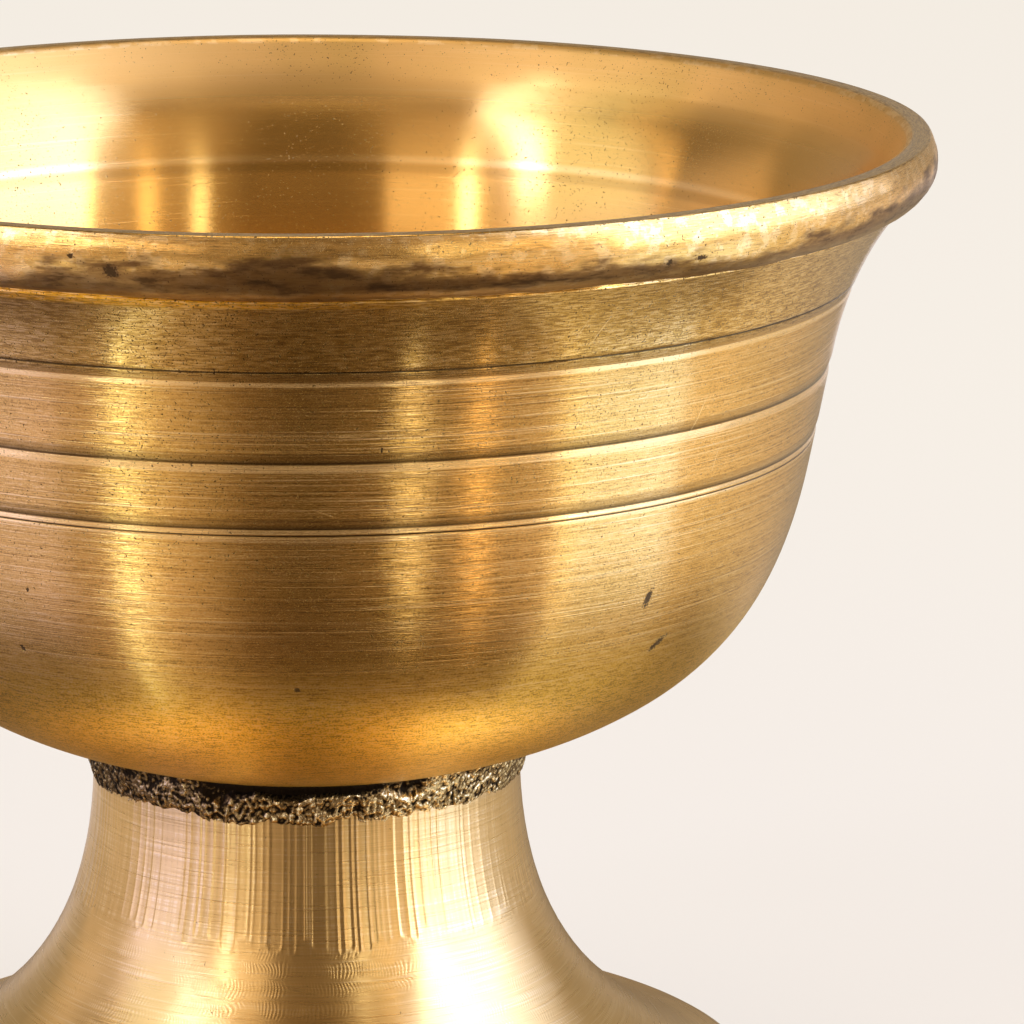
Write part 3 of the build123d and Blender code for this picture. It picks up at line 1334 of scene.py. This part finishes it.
    def outline(self) -> Tuple[np.ndarray, Dict[str, np.ndarray]]:
        """The whole outline from the foot of the spigot, round the outside and inside, to the wick hole.

        Returns:
            The points, and for each stretch of it which points belong to it.
        """
        outer = self.outer()
        inner = (outer - outward(outer) * self.wall_thickness)[::-1]
        marks = np.interp([self.rim_z - g.drop for g in self.grooves], outer[:, 1], distance(outer))
        focus = [(mark, groove.width * self.groove_focus, groove.pull)
                 for mark, groove in zip(marks, self.grooves)]
        skin = outer[np.linalg.norm(outer - outer[-1], axis=1) > self.undercut]
        rim = self.rim(inner[0])
        edge = distance(rim)[np.argmax(rim[:, 1] > self.rim_z - self.level_tolerance)]
        spigot_z = self.land_z - self.spigot_length
        floor_z = self.land_z + self.floor_thickness
        inward = inner[-1] - inner[-2]
        to_floor = bezier([inner[-1], inner[-1] + inward / np.linalg.norm(inward) * self.floor_outer_arm,
                           (self.floor_inner_arm, floor_z),
                           (self.wick_hole_radius + 2 * self.corner_cut, floor_z)], self.arc_points)[1:]
        spigot = rounded([(0, spigot_z), (self.spigot_radius - self.spigot_chamfer, spigot_z),
                          (self.spigot_radius, spigot_z + self.spigot_chamfer),
                          (self.spigot_radius, self.land_z), outer[0]],
                         (self.corner_cut,) * 3, self.corner_points)
        hole = rounded([to_floor[-1], (self.wick_hole_radius, floor_z),
                        (self.wick_hole_radius, floor_z - self.wick_hole_depth),
                        (0, floor_z - self.wick_hole_depth)],
                       (self.corner_cut,) * 2, self.corner_points)[1:]
        stretches = {
            "spigot": spigot[:-1],
            "outer": resample(skin, self.outer_rows, focus),
            "rim": resample(rim, self.rim_rows, [self.undercut_focus, (edge, *self.edge_focus)]),
            "inner": resample(inner, self.inner_rows, [self.inner_focus])[1:],
            "floor": np.concatenate([to_floor, hole]),
        }
        belongs = {name: np.concatenate([np.full(len(part), name == own) for own, part in stretches.items()])
                   for name in stretches}
        return np.concatenate(list(stretches.values())), belongs

    def stains(self, azimuth: np.ndarray, path: np.ndarray) -> np.ndarray:
        """How far a point is into the stain on the lower part of the rim's face.

        It is the stain's height at the point's azimuth, interpolated between the named ones, less the point's
        own height above the crease.

        Args:
            azimuth: azimuth of each column.
            path: the bowl's outline.

        Returns:
            Distances, rows by columns, negative above the stain.
        """
        heights = np.interp(azimuth, self.stain_azimuths, self.stain_heights)
        return heights[None, :] - (path[:, 1] - self.rim_z + self.rim_height)[:, None]

    def build(self, finish: TurnedBrass) -> bpy.types.Object:
        """Makes the bowl and dresses it.

        The outline is turned about the axis. Grooves are cut into the outside, the rim gets dents, and the
        whole cup is a little wavy.

        Args:
            finish: the brass.

        Returns:
            The piece.
        """
        path, belongs = self.outline()
        along = distance(path)
        angle = around(self.columns)
        azimuth = azimuth_of(angle)
        drop = self.rim_z - path[:, 1]
        cut = sum(groove.cut(drop) for groove in self.grooves) * belongs["outer"]
        cut = cut + self.inner_groove.cut(drop) * belongs["inner"]
        rim = belongs["rim"][:, None]
        front = path[:, 0] > self.rim_radius - self.rim_bulge - self.face_width
        on_face = rim * (fade(drop, self.face_start, self.face_full) * front)[:, None]
        dents = self.dents.at(angle, along) + self.small_share * self.small_dents.at(angle, along)
        chips = self.chips.at(angle, along)
        waves = self.waves.at(angle, along) + self.small_share * self.small_waves.at(angle, along)
        waver = 1 + self.groove_waver * self.groove_grain.at(angle, along)
        skin = belongs["outer"] | belongs["inner"] | belongs["rim"]
        swell = cut[:, None] * waver + on_face * (dents * self.dent_depth + chips * self.chip_depth)
        swell = swell + skin[:, None] * waves * self.waviness
        stains = np.where(on_face > 0, self.stains(azimuth, path), OFF_RIM)
        calm = (np.arange(len(path)) > np.flatnonzero(drop < self.top_tolerance)[-1])[:, None]
        piece = grid_mesh("bowl_turned", turn(path, angle, swell), True, False, {
            Trace.ALONG: along[:, None], Trace.STAIN: stains, Trace.CALM: calm})
        return dress(piece, "bowl", finish.material())


@dataclass(frozen=True)
class Foot:
    """The pedestal: a scraped neck, a trumpet flare and a rounded lip, hollow beneath."""

    # Outside, wall, and the collar with its bore
    height: float = 26.702
    neck_radius: float = 13.8
    bevel_width: float = 0.8
    bevel_height: float = 1.2
    flare_height: float = 21.1
    flare_radius: float = 28.3
    neck_arm: float = 13.5
    lip_arm: float = 7.3
    lip_angle: float = 18.0
    lip_round: float = 2.0
    base_round: float = 1.0
    wall: float = 2.6
    collar_height: float = 9.0
    collar_step: float = 0.3
    bore_radius: float = 8.1
    mouth_cuts: Tuple[float, ...] = (0.15, 0.2, 0.2, 0.1)
    # How fine the curves and the mesh are, and the width and pull of the rows at the strokes' ends
    flare_points: int = 600
    lip_points: int = 9
    base_points: int = 6
    corner_points: int = 4
    skirt_points: int = 3
    columns: int = 1300
    flare_rows: int = 34
    hollow_rows: int = 10
    end_focus: Tuple[float, float] = (0.9, 7.0)
    # Scraper strokes: their sizes, the range that each is drawn from, and how they end
    stroke_seed: int = 11
    stroke_width: float = 0.58
    stroke_widths: Tuple[float, float] = (0.45, 1.6)
    stroke_depth: float = 0.024
    stroke_strengths: Tuple[float, float] = (0.3, 1.0)
    stroke_tilt: float = 0.07
    stroke_ridge: float = 0.022
    ridge_width: float = 0.09
    stroke_end: float = 8.8
    stroke_ends: Tuple[float, float] = (-0.5, 0.5)
    end_round: float = 1.1
    end_width: float = 0.12
    end_fade: float = 0.18
    # Where the strokes are strong, how wavy the flare is, and how far the darkening under the solder reaches
    patches: Grain = Grain(13, 14, 8.0)
    patch_middle: float = 0.55
    patch_spread: float = 0.6
    patch_limits: Tuple[float, float] = (0.15, 1.0)
    clear_azimuth: float = 12.0
    clear_width: float = 26.0
    waves: Grain = Grain(14, 24, 5.0)
    waviness: float = 0.012
    recess_reach: float = 0.5
    off_neck: float = 1000.0

    def flare(self) -> np.ndarray:
        """Outside of the foot from the lip up to the neck, as one cubic curve.

        Returns:
            The points, as (radius, height).
        """
        neck = np.array([self.neck_radius, self.height - self.bevel_height])
        lip = np.array([self.flare_radius, neck[1] - self.flare_height])
        inwards = heading(self.lip_angle - 90)
        return bezier([lip, lip + inwards * self.lip_arm, neck - (0, self.neck_arm), neck], self.flare_points)

    def lip(self) -> np.ndarray:
        """The lip from the standing ring up to the flare: a small round, a short face and a large round.

        Returns:
            The points, as (radius, height).
        """
        dip = np.radians(self.lip_angle)
        top = self.flare()[0]
        centre = top - self.lip_round * heading(self.lip_angle)
        edge = centre[0] + self.lip_round
        turn_up = np.linspace(0, np.pi / 2 - dip, self.lip_points)[:-1]
        large = centre + self.lip_round * np.stack([np.cos(turn_up), np.sin(turn_up)], axis=1)
        turn_out = np.linspace(-np.pi / 2, 0, self.base_points)
        small = np.array([edge, self.base_round]) + self.base_round * np.stack(
            [np.cos(turn_out) - 1, np.sin(turn_out)], axis=1)
        return np.concatenate([small, large])

    def outline(self) -> Tuple[np.ndarray, np.ndarray]:
        """The closed outline: up the outside, over the mouth, down the bore and out under the hollow.

        Returns:
            The points, and which of them are on the flare.
        """
        whole = distance(self.flare())[-1]
        flare = resample(self.flare(), self.flare_rows, [(whole - self.stroke_end, *self.end_focus)])
        hollow = resample((self.flare() - outward(self.flare()) * self.wall)[::-1], self.hollow_rows)
        collar_z = self.height - self.collar_height
        mouth = rounded([flare[-1], (self.neck_radius - self.bevel_width, self.height),
                         (self.bore_radius, self.height), (self.bore_radius, collar_z),
                         (hollow[0, 0] - self.collar_step, collar_z), hollow[0]],
                        self.mouth_cuts, self.corner_points)[1:-1]
        lip = self.lip()
        skirt = straight(hollow[-1], (hollow[-1, 0], 0), self.skirt_points)[1:]
        parts = [lip, flare, mouth, hollow, skirt]
        on_flare = np.concatenate([np.full(len(part), part is flare) for part in parts])
        return np.concatenate(parts), on_flare

    def strokes(self, angle: np.ndarray, below: np.ndarray) -> np.ndarray:
        """Scraper strokes down the neck.

        The neck's circumference is divided into strokes of random width. Across a stroke u goes from -1 to 1.
        Its floor is depth * (1 - u ** 4), tilted to one side, its edges are ridges of bell shape, and it
        ends in a round at its own length, earlier where u is larger.

        Args:
            angle: angle of each column in radians.
            below: distance below the neck's top of each row.

        Returns:
            Movement outwards, rows by columns.
        """
        draw = np.random.default_rng(self.stroke_seed)
        number = int(2 * np.pi * self.neck_radius / self.stroke_width)
        widths = draw.uniform(*self.stroke_widths, number)
        edges = np.concatenate([[0.0], np.cumsum(widths)]) / np.sum(widths) * 2 * np.pi
        strength, tilt = draw.uniform(*self.stroke_strengths, number), draw.uniform(-1, 1, number)
        ends = self.stroke_end + draw.uniform(*self.stroke_ends, number)
        own = np.clip(np.searchsorted(edges, angle, side="right") - 1, 0, number - 1)
        half = (edges[own + 1] - edges[own]) / 2 * self.neck_radius
        u = (angle - edges[own]) / (edges[own + 1] - edges[own]) * 2 - 1
        stop = ends[own] - self.end_round * half * (1 - np.sqrt(np.clip(1 - u * u, 0, 1)))
        short = stop[None, :] - below[:, None]
        floor = (1 - u**4) * strength[own] * (tilt[own] * u * half * self.stroke_tilt - self.stroke_depth)
        ridge = np.exp(-((1 - np.abs(u)) * half / self.ridge_width)**2) * strength[own] * self.stroke_ridge
        rounded_end = np.exp(-(short / self.end_width)**2) * strength[own] * self.stroke_ridge
        return (floor + ridge) * fade(short, 0.0, self.end_fade) + rounded_end

    def build(self, finish: ScrapedBrass) -> bpy.types.Object:
        """Makes the foot and dresses it.

        The closed outline is turned about the axis, with scraper strokes down the neck that are stronger in
        patches and on the side near the camera.

        Args:
            finish: the brass.

        Returns:
            The piece.
        """
        path, on_flare = self.outline()
        along = distance(path)
        angle = around(self.columns)
        top = along[np.flatnonzero(on_flare)[-1]]
        below = np.where(on_flare, top - along, self.off_neck)
        patches = self.patch_middle + self.patch_spread * self.patches.at(angle, along)
        clear = np.exp(-((azimuth_of(angle) - self.clear_azimuth) / self.clear_width)**2)[None, :]
        strength = np.maximum(np.clip(patches, *self.patch_limits), clear)
        swell = self.strokes(angle, below) * strength + self.waviness * self.waves.at(angle, along)
        swell = swell * on_flare[:, None]
        recess = np.exp(-np.abs(below) / self.recess_reach)[:, None]
        piece = grid_mesh("foot_scraped", turn(path, angle, swell), True, True, {
            Trace.ALONG: along[:, None], Trace.RECESS: recess})
        return dress(piece, "foot", finish.material())


@dataclass(frozen=True)
class SolderSeam:
    """The crumbly ring of solder between the bowl's underside and the neck."""

    # Section, and how fine the mesh is
    neck_radius: float = 13.8
    neck_top_z: float = 25.502
    land_z: float = 26.702
    land_radius: float = 13.0
    reach: float = 1.2
    crown: float = 0.45
    top_rise: float = 0.9
    skirt: float = 1.0
    sink: float = 0.12
    overlap: float = 0.05
    lower_arm: Tuple[float, float] = (0.1, 0.9)
    upper_arm: Tuple[float, float] = (0.0, 0.6)
    corner_cut: float = 0.2
    corner_points: int = 3
    columns: int = 1600
    face_rows: int = 44
    edge_share: float = 0.12
    # Beads of two sizes, ropes and lumps on the face, and how far it lies back before they are added
    bead_pitch: float = 0.34
    bead_seed: int = 21
    small_bead_seed: int = 22
    bead_height: float = 0.16
    bead_share: float = 0.45
    small_bead_share: float = 0.3
    ropes: Grain = Grain(27, 190, 0.5)
    rope_share: float = 0.35
    lumps: Grain = Grain(23, 60, 0.9)
    lump_height: float = 0.1
    settled: float = 0.08
    # Gaps under the bowl: the wide one, and smaller ones at random
    gap_depth: float = 0.75
    gap_azimuth: float = -2.0
    gap_width: float = 26.0
    gaps: Grain = Grain(24, 40, 9.0)
    gap_limits: Tuple[float, float] = (0.2, 0.7)
    gap_strength: float = 0.7
    gap_starts: Grain = Grain(28, 70, 9.0)
    gap_start: float = 0.5
    gap_start_spread: float = 0.12
    gap_fade: float = 0.16
    # Runs of the lower edge, and by azimuth how much painted glint the bead tops get: painted shade on the
    # left and on the far side
    runs: Grain = Grain(25, 50, 9.0)
    small_runs: Grain = Grain(26, 190, 9.0)
    small_run_share: float = 0.6
    run_height: float = 0.28
    left_glint: float = 0.55
    glint_azimuths: Tuple[float, float] = (-30, 10)
    far_azimuths: Tuple[float, float] = (90, 150)
    far_glint_loss: float = 0.4

    def outline(self) -> Tuple[np.ndarray, np.ndarray]:
        """The closed outline: up the outer face, then back behind it inside the bowl and the neck.

        Returns:
            The points, and for each how far up the face it is, or -1 behind the face.
        """
        foot = np.array([self.neck_radius - self.overlap, self.neck_top_z - self.skirt])
        top = np.array([self.neck_radius + self.reach, self.land_z + self.top_rise])
        middle = np.array([self.neck_radius + self.crown, (foot[1] + top[1]) / 2])
        face = bezier([foot, middle - self.lower_arm, middle + self.upper_arm, top], self.face_rows)
        behind = rounded([top, (self.land_radius + self.corner_cut, self.land_z + self.sink),
                          (self.land_radius, self.land_z), (self.neck_radius - self.sink, self.neck_top_z),
                          foot], (self.corner_cut,) * 3, self.corner_points)[1:-1]
        climb = np.concatenate([np.linspace(0, 1, self.face_rows), np.full(len(behind), -1.0)])
        return np.concatenate([face, behind]), climb

    def build(self, finish: CrustedSolder) -> bpy.types.Object:
        """Makes the solder and dresses it.

        The face is covered with beads of two sizes and thin ropes, its lower edge runs unevenly, and its top
        falls back from the bowl where the solder didn't fill the corner. The bead tops get less painted glint
        on the left and on the far side, a painted shade of those sides.

        Args:
            finish: the solder.

        Returns:
            The piece.
        """
        path, climb = self.outline()
        along = distance(path)
        angle = around(self.columns)
        azimuth = azimuth_of(angle)
        cells = int(2 * np.pi * self.neck_radius / self.bead_pitch)
        large = Beads(self.bead_seed, cells, self.bead_pitch).at(angle, along)
        small = Beads(self.small_bead_seed, cells * 2, self.bead_pitch / 2).at(angle, along)
        ropes = np.clip(1 - np.abs(self.ropes.at(angle, along)) * 2, 0, 1)
        crest = self.bead_share * large + self.small_bead_share * small + self.rope_share * ropes
        crest = np.clip(crest, 0, 1)
        lumps = self.lumps.at(angle, along)
        on_face = (climb >= 0)[:, None]
        edge = fade(climb, 0.0, self.edge_share)[:, None] * on_face
        uneven, starts, runs, small_runs = (grain.at(angle, along[:1]) for grain in (
            self.gaps, self.gap_starts, self.runs, self.small_runs))
        gap = np.maximum(fade(uneven, *self.gap_limits) * self.gap_strength,
                         np.exp(-((azimuth - self.gap_azimuth) / self.gap_width)**4))
        start = self.gap_start + self.gap_start_spread * starts
        open_top = fade(climb[:, None] - start, 0.0, self.gap_fade) * gap
        swell = crest * self.bead_height + lumps * self.lump_height - self.settled
        points = turn(path, angle, edge * (swell - open_top * self.gap_depth))
        run = (runs + self.small_run_share * small_runs) * self.run_height
        points[..., 2] += (1 - np.clip(climb, 0, 1))[:, None] * on_face * run
        # Painted shade by side: the bead tops' painted glint is weaker on the left and on the far side.
        glint_share = self.left_glint + (1 - self.left_glint) * fade(azimuth, *self.glint_azimuths) * (
            1 - self.far_glint_loss * fade(azimuth, *self.far_azimuths))
        crest = np.where(on_face, crest * glint_share[None, :] * (1 - open_top), 0)
        piece = grid_mesh("solder_crust", points, True, True, {
            Trace.ALONG: along[:, None], Trace.CREST: crest})
        return dress(piece, "solder_seam", finish.material())


@dataclass(frozen=True)
class Card:
    """A card of the studio, bent round the lamp: its azimuths, its heights, how far off and how bright it is.

    Its colour is that of its start, and it goes evenly to the end colour if there is one.
    """

    name: str
    start: float
    end: float
    low: float
    high: float
    away: float
    colour: Colour
    end_colour: Optional[Colour] = None


@dataclass(frozen=True)
class Fan:
    """A card that lies on the paper and points at the lamp: its azimuths, its height and how bright it is.

    Its colour goes evenly to the end colour if there is one.
    """

    name: str
    start: float
    end: float
    level: float
    colour: Colour
    end_colour: Optional[Colour] = None
    near: float = 33.0
    far: float = 230.0


@dataclass(frozen=True)
class Studio:
    """Camera, lights, the pale paper and the air round it."""

    # Camera, as fitted to the rim, the grooves and the outline
    camera_away: float = 375.447
    camera_height: float = 127.315
    pitch: float = 12.889
    yaw: float = 2.019
    roll: float = 0.175
    lens: float = 210.9375
    sensor: float = 36.0
    # Paper, air, and the dim room that other rays than the camera's see
    paper_half: float = 2500.0
    paper_points: int = 3
    paper_level: float = -0.02
    air: Colour = (0.93, 0.87, 0.79)
    room_front: Colour = (0.1, 0.068, 0.042)
    room_back: Colour = (0.42, 0.36, 0.28)
    room_top: Colour = (3.0, 2.5, 1.95)
    back_edge: Ramp = Ramp(-0.3, 0.9)
    top_edge: Ramp = Ramp(0.935, 1.0)
    # Cards round the lamp, and those on the paper
    card_columns: int = 25
    card_rows: int = 5
    cards: Tuple[Card, ...] = (
        Card("softbox_right", 56, 98, 130, 1000, 520, (2.9, 3.5, 6.0)),
        Card("low_softbox_right", 56, 98, 0, 130, 520, (2.3, 2.6, 3.8)),
        Card("softbox_far_right", 98, 128, 60, 1000, 520, (2.4, 2.8, 4.4), (0.6, 0.5, 0.42)),
        Card("edge_right", 55, 58, 0, 420, 500, (6.5, 6.5, 6.5)),
        Card("near_fill_right", 10, 28, 0, 1000, 560, (0.1, 0.068, 0.042), (0.6, 0.46, 0.32)),
        Card("far_fill_right", 28, 56, 0, 1000, 560, (0.6, 0.46, 0.32), (0.95, 0.75, 0.55)),
        Card("strip_right", 24, 28, 100, 420, 540, (3.5, 3.4, 3.0)),
        Card("strip_far_right", 37, 41, 100, 420, 540, (3.0, 2.4, 1.6)),
        Card("near_fill_left", -10, -26, 0, 1000, 560, (0.1, 0.068, 0.042), (0.55, 0.42, 0.3)),
        Card("far_fill_left", -26, -56, 0, 1000, 560, (0.55, 0.42, 0.3), (0.95, 0.75, 0.65)),
        Card("window_left", -46, -20, 190, 450, 530, (1.6, 1.3, 1.0)),
        Card("strip_left", -43, -39, 180, 420, 520, (6.5, 6.8, 7.6)),
        Card("front", -18, 12, 350, 480, 550, (0.42, 0.31, 0.2)),
        Card("front_low", -14, 14, 150, 250, 550, (0.25, 0.18, 0.115)),
        Card("strip_far_left", -100.5, -96, 300, 720, 530, (2.2, 1.7, 1.1)),
        Card("panel_left", -92, -58, 0, 200, 540, (1.6, 1.55, 2.8)),
        Card("far_panel_left", -92, -130, 0, 330, 540, (0.9, 0.8, 0.9), (0.75, 0.6, 0.45)),
        Card("upper_left", -92, -56, 200, 1000, 540, (1.5, 1.55, 1.6)),
        Card("softbox_left", -64, -56, 330, 1000, 520, (6.0, 6.6, 10.0)),
    )
    fans: Tuple[Fan, ...] = (
        Fan("floor_right", 54, 82, 1.0, (1.6, 1.8, 2.2), (1.7, 2.0, 2.9)),
        Fan("floor_far_right", 82, 170, 1.0, (1.15, 1.05, 0.9), (0.26, 0.19, 0.1)),
        Fan("floor_near_right", 54, 104, 1.5, (0.82, 0.73, 0.56), (0.5, 0.4, 0.28), far=84.0),
        Fan("floor_edge_right", 52, 54, 2.0, (2.3, 2.3, 2.1)),
        Fan("floor_fill_right", 12, 52, 1.0, (0.24, 0.175, 0.125), (0.85, 0.7, 0.6)),
        Fan("floor_strip_right", 18.7, 21.8, 1.5, (2.6, 2.5, 2.2), near=74.0),
        Fan("floor_strip_far_right", 32.6, 35.2, 1.5, (2.8, 2.1, 1.3), near=74.0),
        # The two front fans are dark: painted shade on the paper in front of the lamp, seen only in
        # reflections.
        Fan("floor_front_shade_right", 0, 12, 1.0, (0.13, 0.092, 0.06), (0.24, 0.175, 0.125)),
        Fan("floor_front_shade_left", 0, -12, 1.0, (0.13, 0.092, 0.06), (0.26, 0.18, 0.125)),
        Fan("floor_fill_left", -12, -34, 1.0, (0.28, 0.19, 0.13), (1.15, 0.94, 0.78)),
        Fan("floor_far_left", -34, -50, 1.0, (0.85, 0.7, 0.64), (0.62, 0.5, 0.52)),
        Fan("floor_strip_left", -36.9, -35.0, 1.5, (4.6, 5.2, 5.0)),
        Fan("floor_side_strip_left", -31.5, -30.2, 1.5, (1.8, 1.8, 1.5)),
        Fan("floor_panel_left", -50, -92, 1.0, (0.95, 0.84, 1.2), (1.0, 0.92, 1.5)),
    )
    # The dark ring on the paper, a painted shadow of the lamp seen only in reflections: its sizes, where it
    # ends, and its cover by azimuth
    shade_colour: Colour = (0.14, 0.09, 0.048)
    shade_near: float = 31.0
    shade_far: float = 95.0
    shade_level: float = 2.5
    shade_columns: int = 181
    shade_rows: int = 33
    ring_end: float = 72.0
    ring_soft: float = 18.0
    ring_azimuths: Tuple[float, ...] = (-180, -110, -54, -38, -24, 0, 20, 46, 58, 90, 104, 180)
    ring_covers: Tuple[float, ...] = (0.9, 0.92, 0.92, 0.5, 0.5, 0.68, 0.83, 0.85, 0.15, 0.2, 0.88, 0.92)

    def camera(self) -> bpy.types.Object:
        """The camera in front of the lamp, looking a little down.

        Returns:
            The camera.
        """
        pitch, yaw, roll = np.radians([self.pitch, self.yaw, self.roll])
        ahead = Vector((np.sin(yaw) * np.cos(pitch), np.cos(yaw) * np.cos(pitch), -np.sin(pitch)))
        level = ahead.cross(Vector((0, 0, 1))).normalized()
        upright = level.cross(ahead)
        right = level * np.cos(roll) + upright * np.sin(roll)
        up = upright * np.cos(roll) - level * np.sin(roll)
        made = bpy.data.objects.new("camera", bpy.data.cameras.new("camera"))
        bpy.context.scene.collection.objects.link(made)
        made.data.lens, made.data.sensor_width = self.lens, self.sensor
        made.matrix_world = Matrix.LocRotScale(
            Vector((0, -self.camera_away, self.camera_height)) * MM,
            Matrix((right, up, -ahead)).transposed().to_quaternion(), None)
        bpy.context.scene.camera = made
        return made

    def place(self, made: bpy.types.Object, material: bpy.types.Material, seen: Seen) -> bpy.types.Object:
        """Puts an object of the studio on the stage.

        Args:
            made: the object.
            material: its material.
            seen: which rays meet it.

        Returns:
            The object.
        """
        made.data.materials.append(material)
        made.visible_camera = seen is Seen.BY_ALL
        made.visible_diffuse = made.visible_shadow = seen is not Seen.IN_REFLECTIONS
        log.info("%s: stage, seen %s", made.name, seen.value)
        return made

    def lit(self, card: Union[Card, Fan], points: np.ndarray, seen: Seen) -> bpy.types.Object:
        """Makes a card that goes from its start's colour to its end's.

        Args:
            card: its name and colours.
            points: its grid, with a column for each step across it.
            seen: which rays meet it.

        Returns:
            The card.
        """
        across = np.linspace(0, 1, self.card_columns)[None, :]
        made = grid_mesh(card.name, points, False, False, {Trace.COVER: across})
        finish = Glow(card.name, card.colour, card.end_colour or card.colour)
        return self.place(made, finish.material(), seen)

    def card(self, card: Card) -> bpy.types.Object:
        """A card that stands round the lamp, over its azimuths and heights.

        Args:
            card: its sizes and colours.

        Returns:
            The card.
        """
        azimuth = np.linspace(card.start, card.end, self.card_columns)
        height = np.linspace(card.low, card.high, self.card_rows)[:, None]
        return self.lit(card, about_lamp(azimuth, card.away, height), Seen.NOT_BY_CAMERA)

    def fan(self, fan: Fan) -> bpy.types.Object:
        """A card on the paper, over its azimuths and from near the lamp to far off.

        Args:
            fan: its sizes and colours.

        Returns:
            The card.
        """
        azimuth = np.linspace(fan.start, fan.end, self.card_columns)
        radius = np.linspace(fan.near, fan.far, self.card_rows)[:, None]
        return self.lit(fan, about_lamp(azimuth, radius, fan.level), Seen.IN_REFLECTIONS)

    def ring_shade(self) -> bpy.types.Object:
        """A dark ring on the paper close to the lamp, seen only in reflections: a painted shadow of the lamp
        on the paper.

        Its cover is interpolated between the named azimuths and fades out at the ring's end.

        Returns:
            The ring.
        """
        azimuth = np.linspace(-180, 180, self.shade_columns)
        radius = np.linspace(self.shade_near, self.shade_far, self.shade_rows)[:, None]
        cover = 1 - fade(radius, self.ring_end - self.ring_soft, self.ring_end + self.ring_soft)
        cover = cover * np.interp(azimuth, self.ring_azimuths, self.ring_covers)
        points = about_lamp(azimuth, radius, self.shade_level)
        made = grid_mesh("ring_shade", points, False, False, {Trace.COVER: cover})
        return self.place(made, Shade("ring_shade", self.shade_colour).material(), Seen.IN_REFLECTIONS)

    def paper(self) -> bpy.types.Object:
        """The pale paper that the lamp stands on: a flat square grid just under the standing ring.

        Returns:
            The paper.
        """
        side = np.linspace(-self.paper_half, self.paper_half, self.paper_points)
        points = np.stack(np.broadcast_arrays(side[None, :], side[:, None], self.paper_level), axis=-1)
        return self.place(grid_mesh("paper", points, False, False, {}), PalePaper().material(), Seen.BY_ALL)

    def world(self) -> bpy.types.World:
        """The air: pale for the camera, and for other rays a dim room, paler behind and above.

        Returns:
            The world.
        """
        world = bpy.data.worlds.new("air")
        world.use_nodes = True
        graph = Graph(world.node_tree)
        direction = graph.wire(graph.node("ShaderNodeTexCoord"), "Generated")
        parts = graph.node("ShaderNodeSeparateXYZ", inputs={0: direction})
        room = graph.mix(self.back_edge.of(graph, graph.wire(parts, "Y")), self.room_front, self.room_back)
        room = graph.mix(self.top_edge.of(graph, graph.wire(parts, "Z")), room, self.room_top)
        camera = graph.wire(graph.node("ShaderNodeLightPath"), "Is Camera Ray")
        colour = graph.mix(camera, room, self.air)
        graph.surface(graph.node("ShaderNodeBackground", inputs={"Color": colour}), "ShaderNodeOutputWorld")
        bpy.context.scene.world = world
        return world

    def build(self) -> None:
        """Sets up the whole studio."""
        bpy.context.scene.view_settings.view_transform = "Standard"
        self.camera()
        self.world()
        self.paper()
        self.ring_shade()
        for card in self.cards:
            self.card(card)
        for fan in self.fans:
            self.fan(fan)


def corners(box: Sequence[Sequence[float]]) -> List[List[float]]:
    """A box as plain lists of numbers."""
    return [[float(x) for x in corner] for corner in box]


def main() -> None:
    """Builds the studio and the lamp's three pieces."""
    Studio().build()
    Foot().build(ScrapedBrass())
    SolderSeam().build(CrustedSolder())
    Bowl().build(TurnedBrass())


if __name__ == "__main__":
    main()
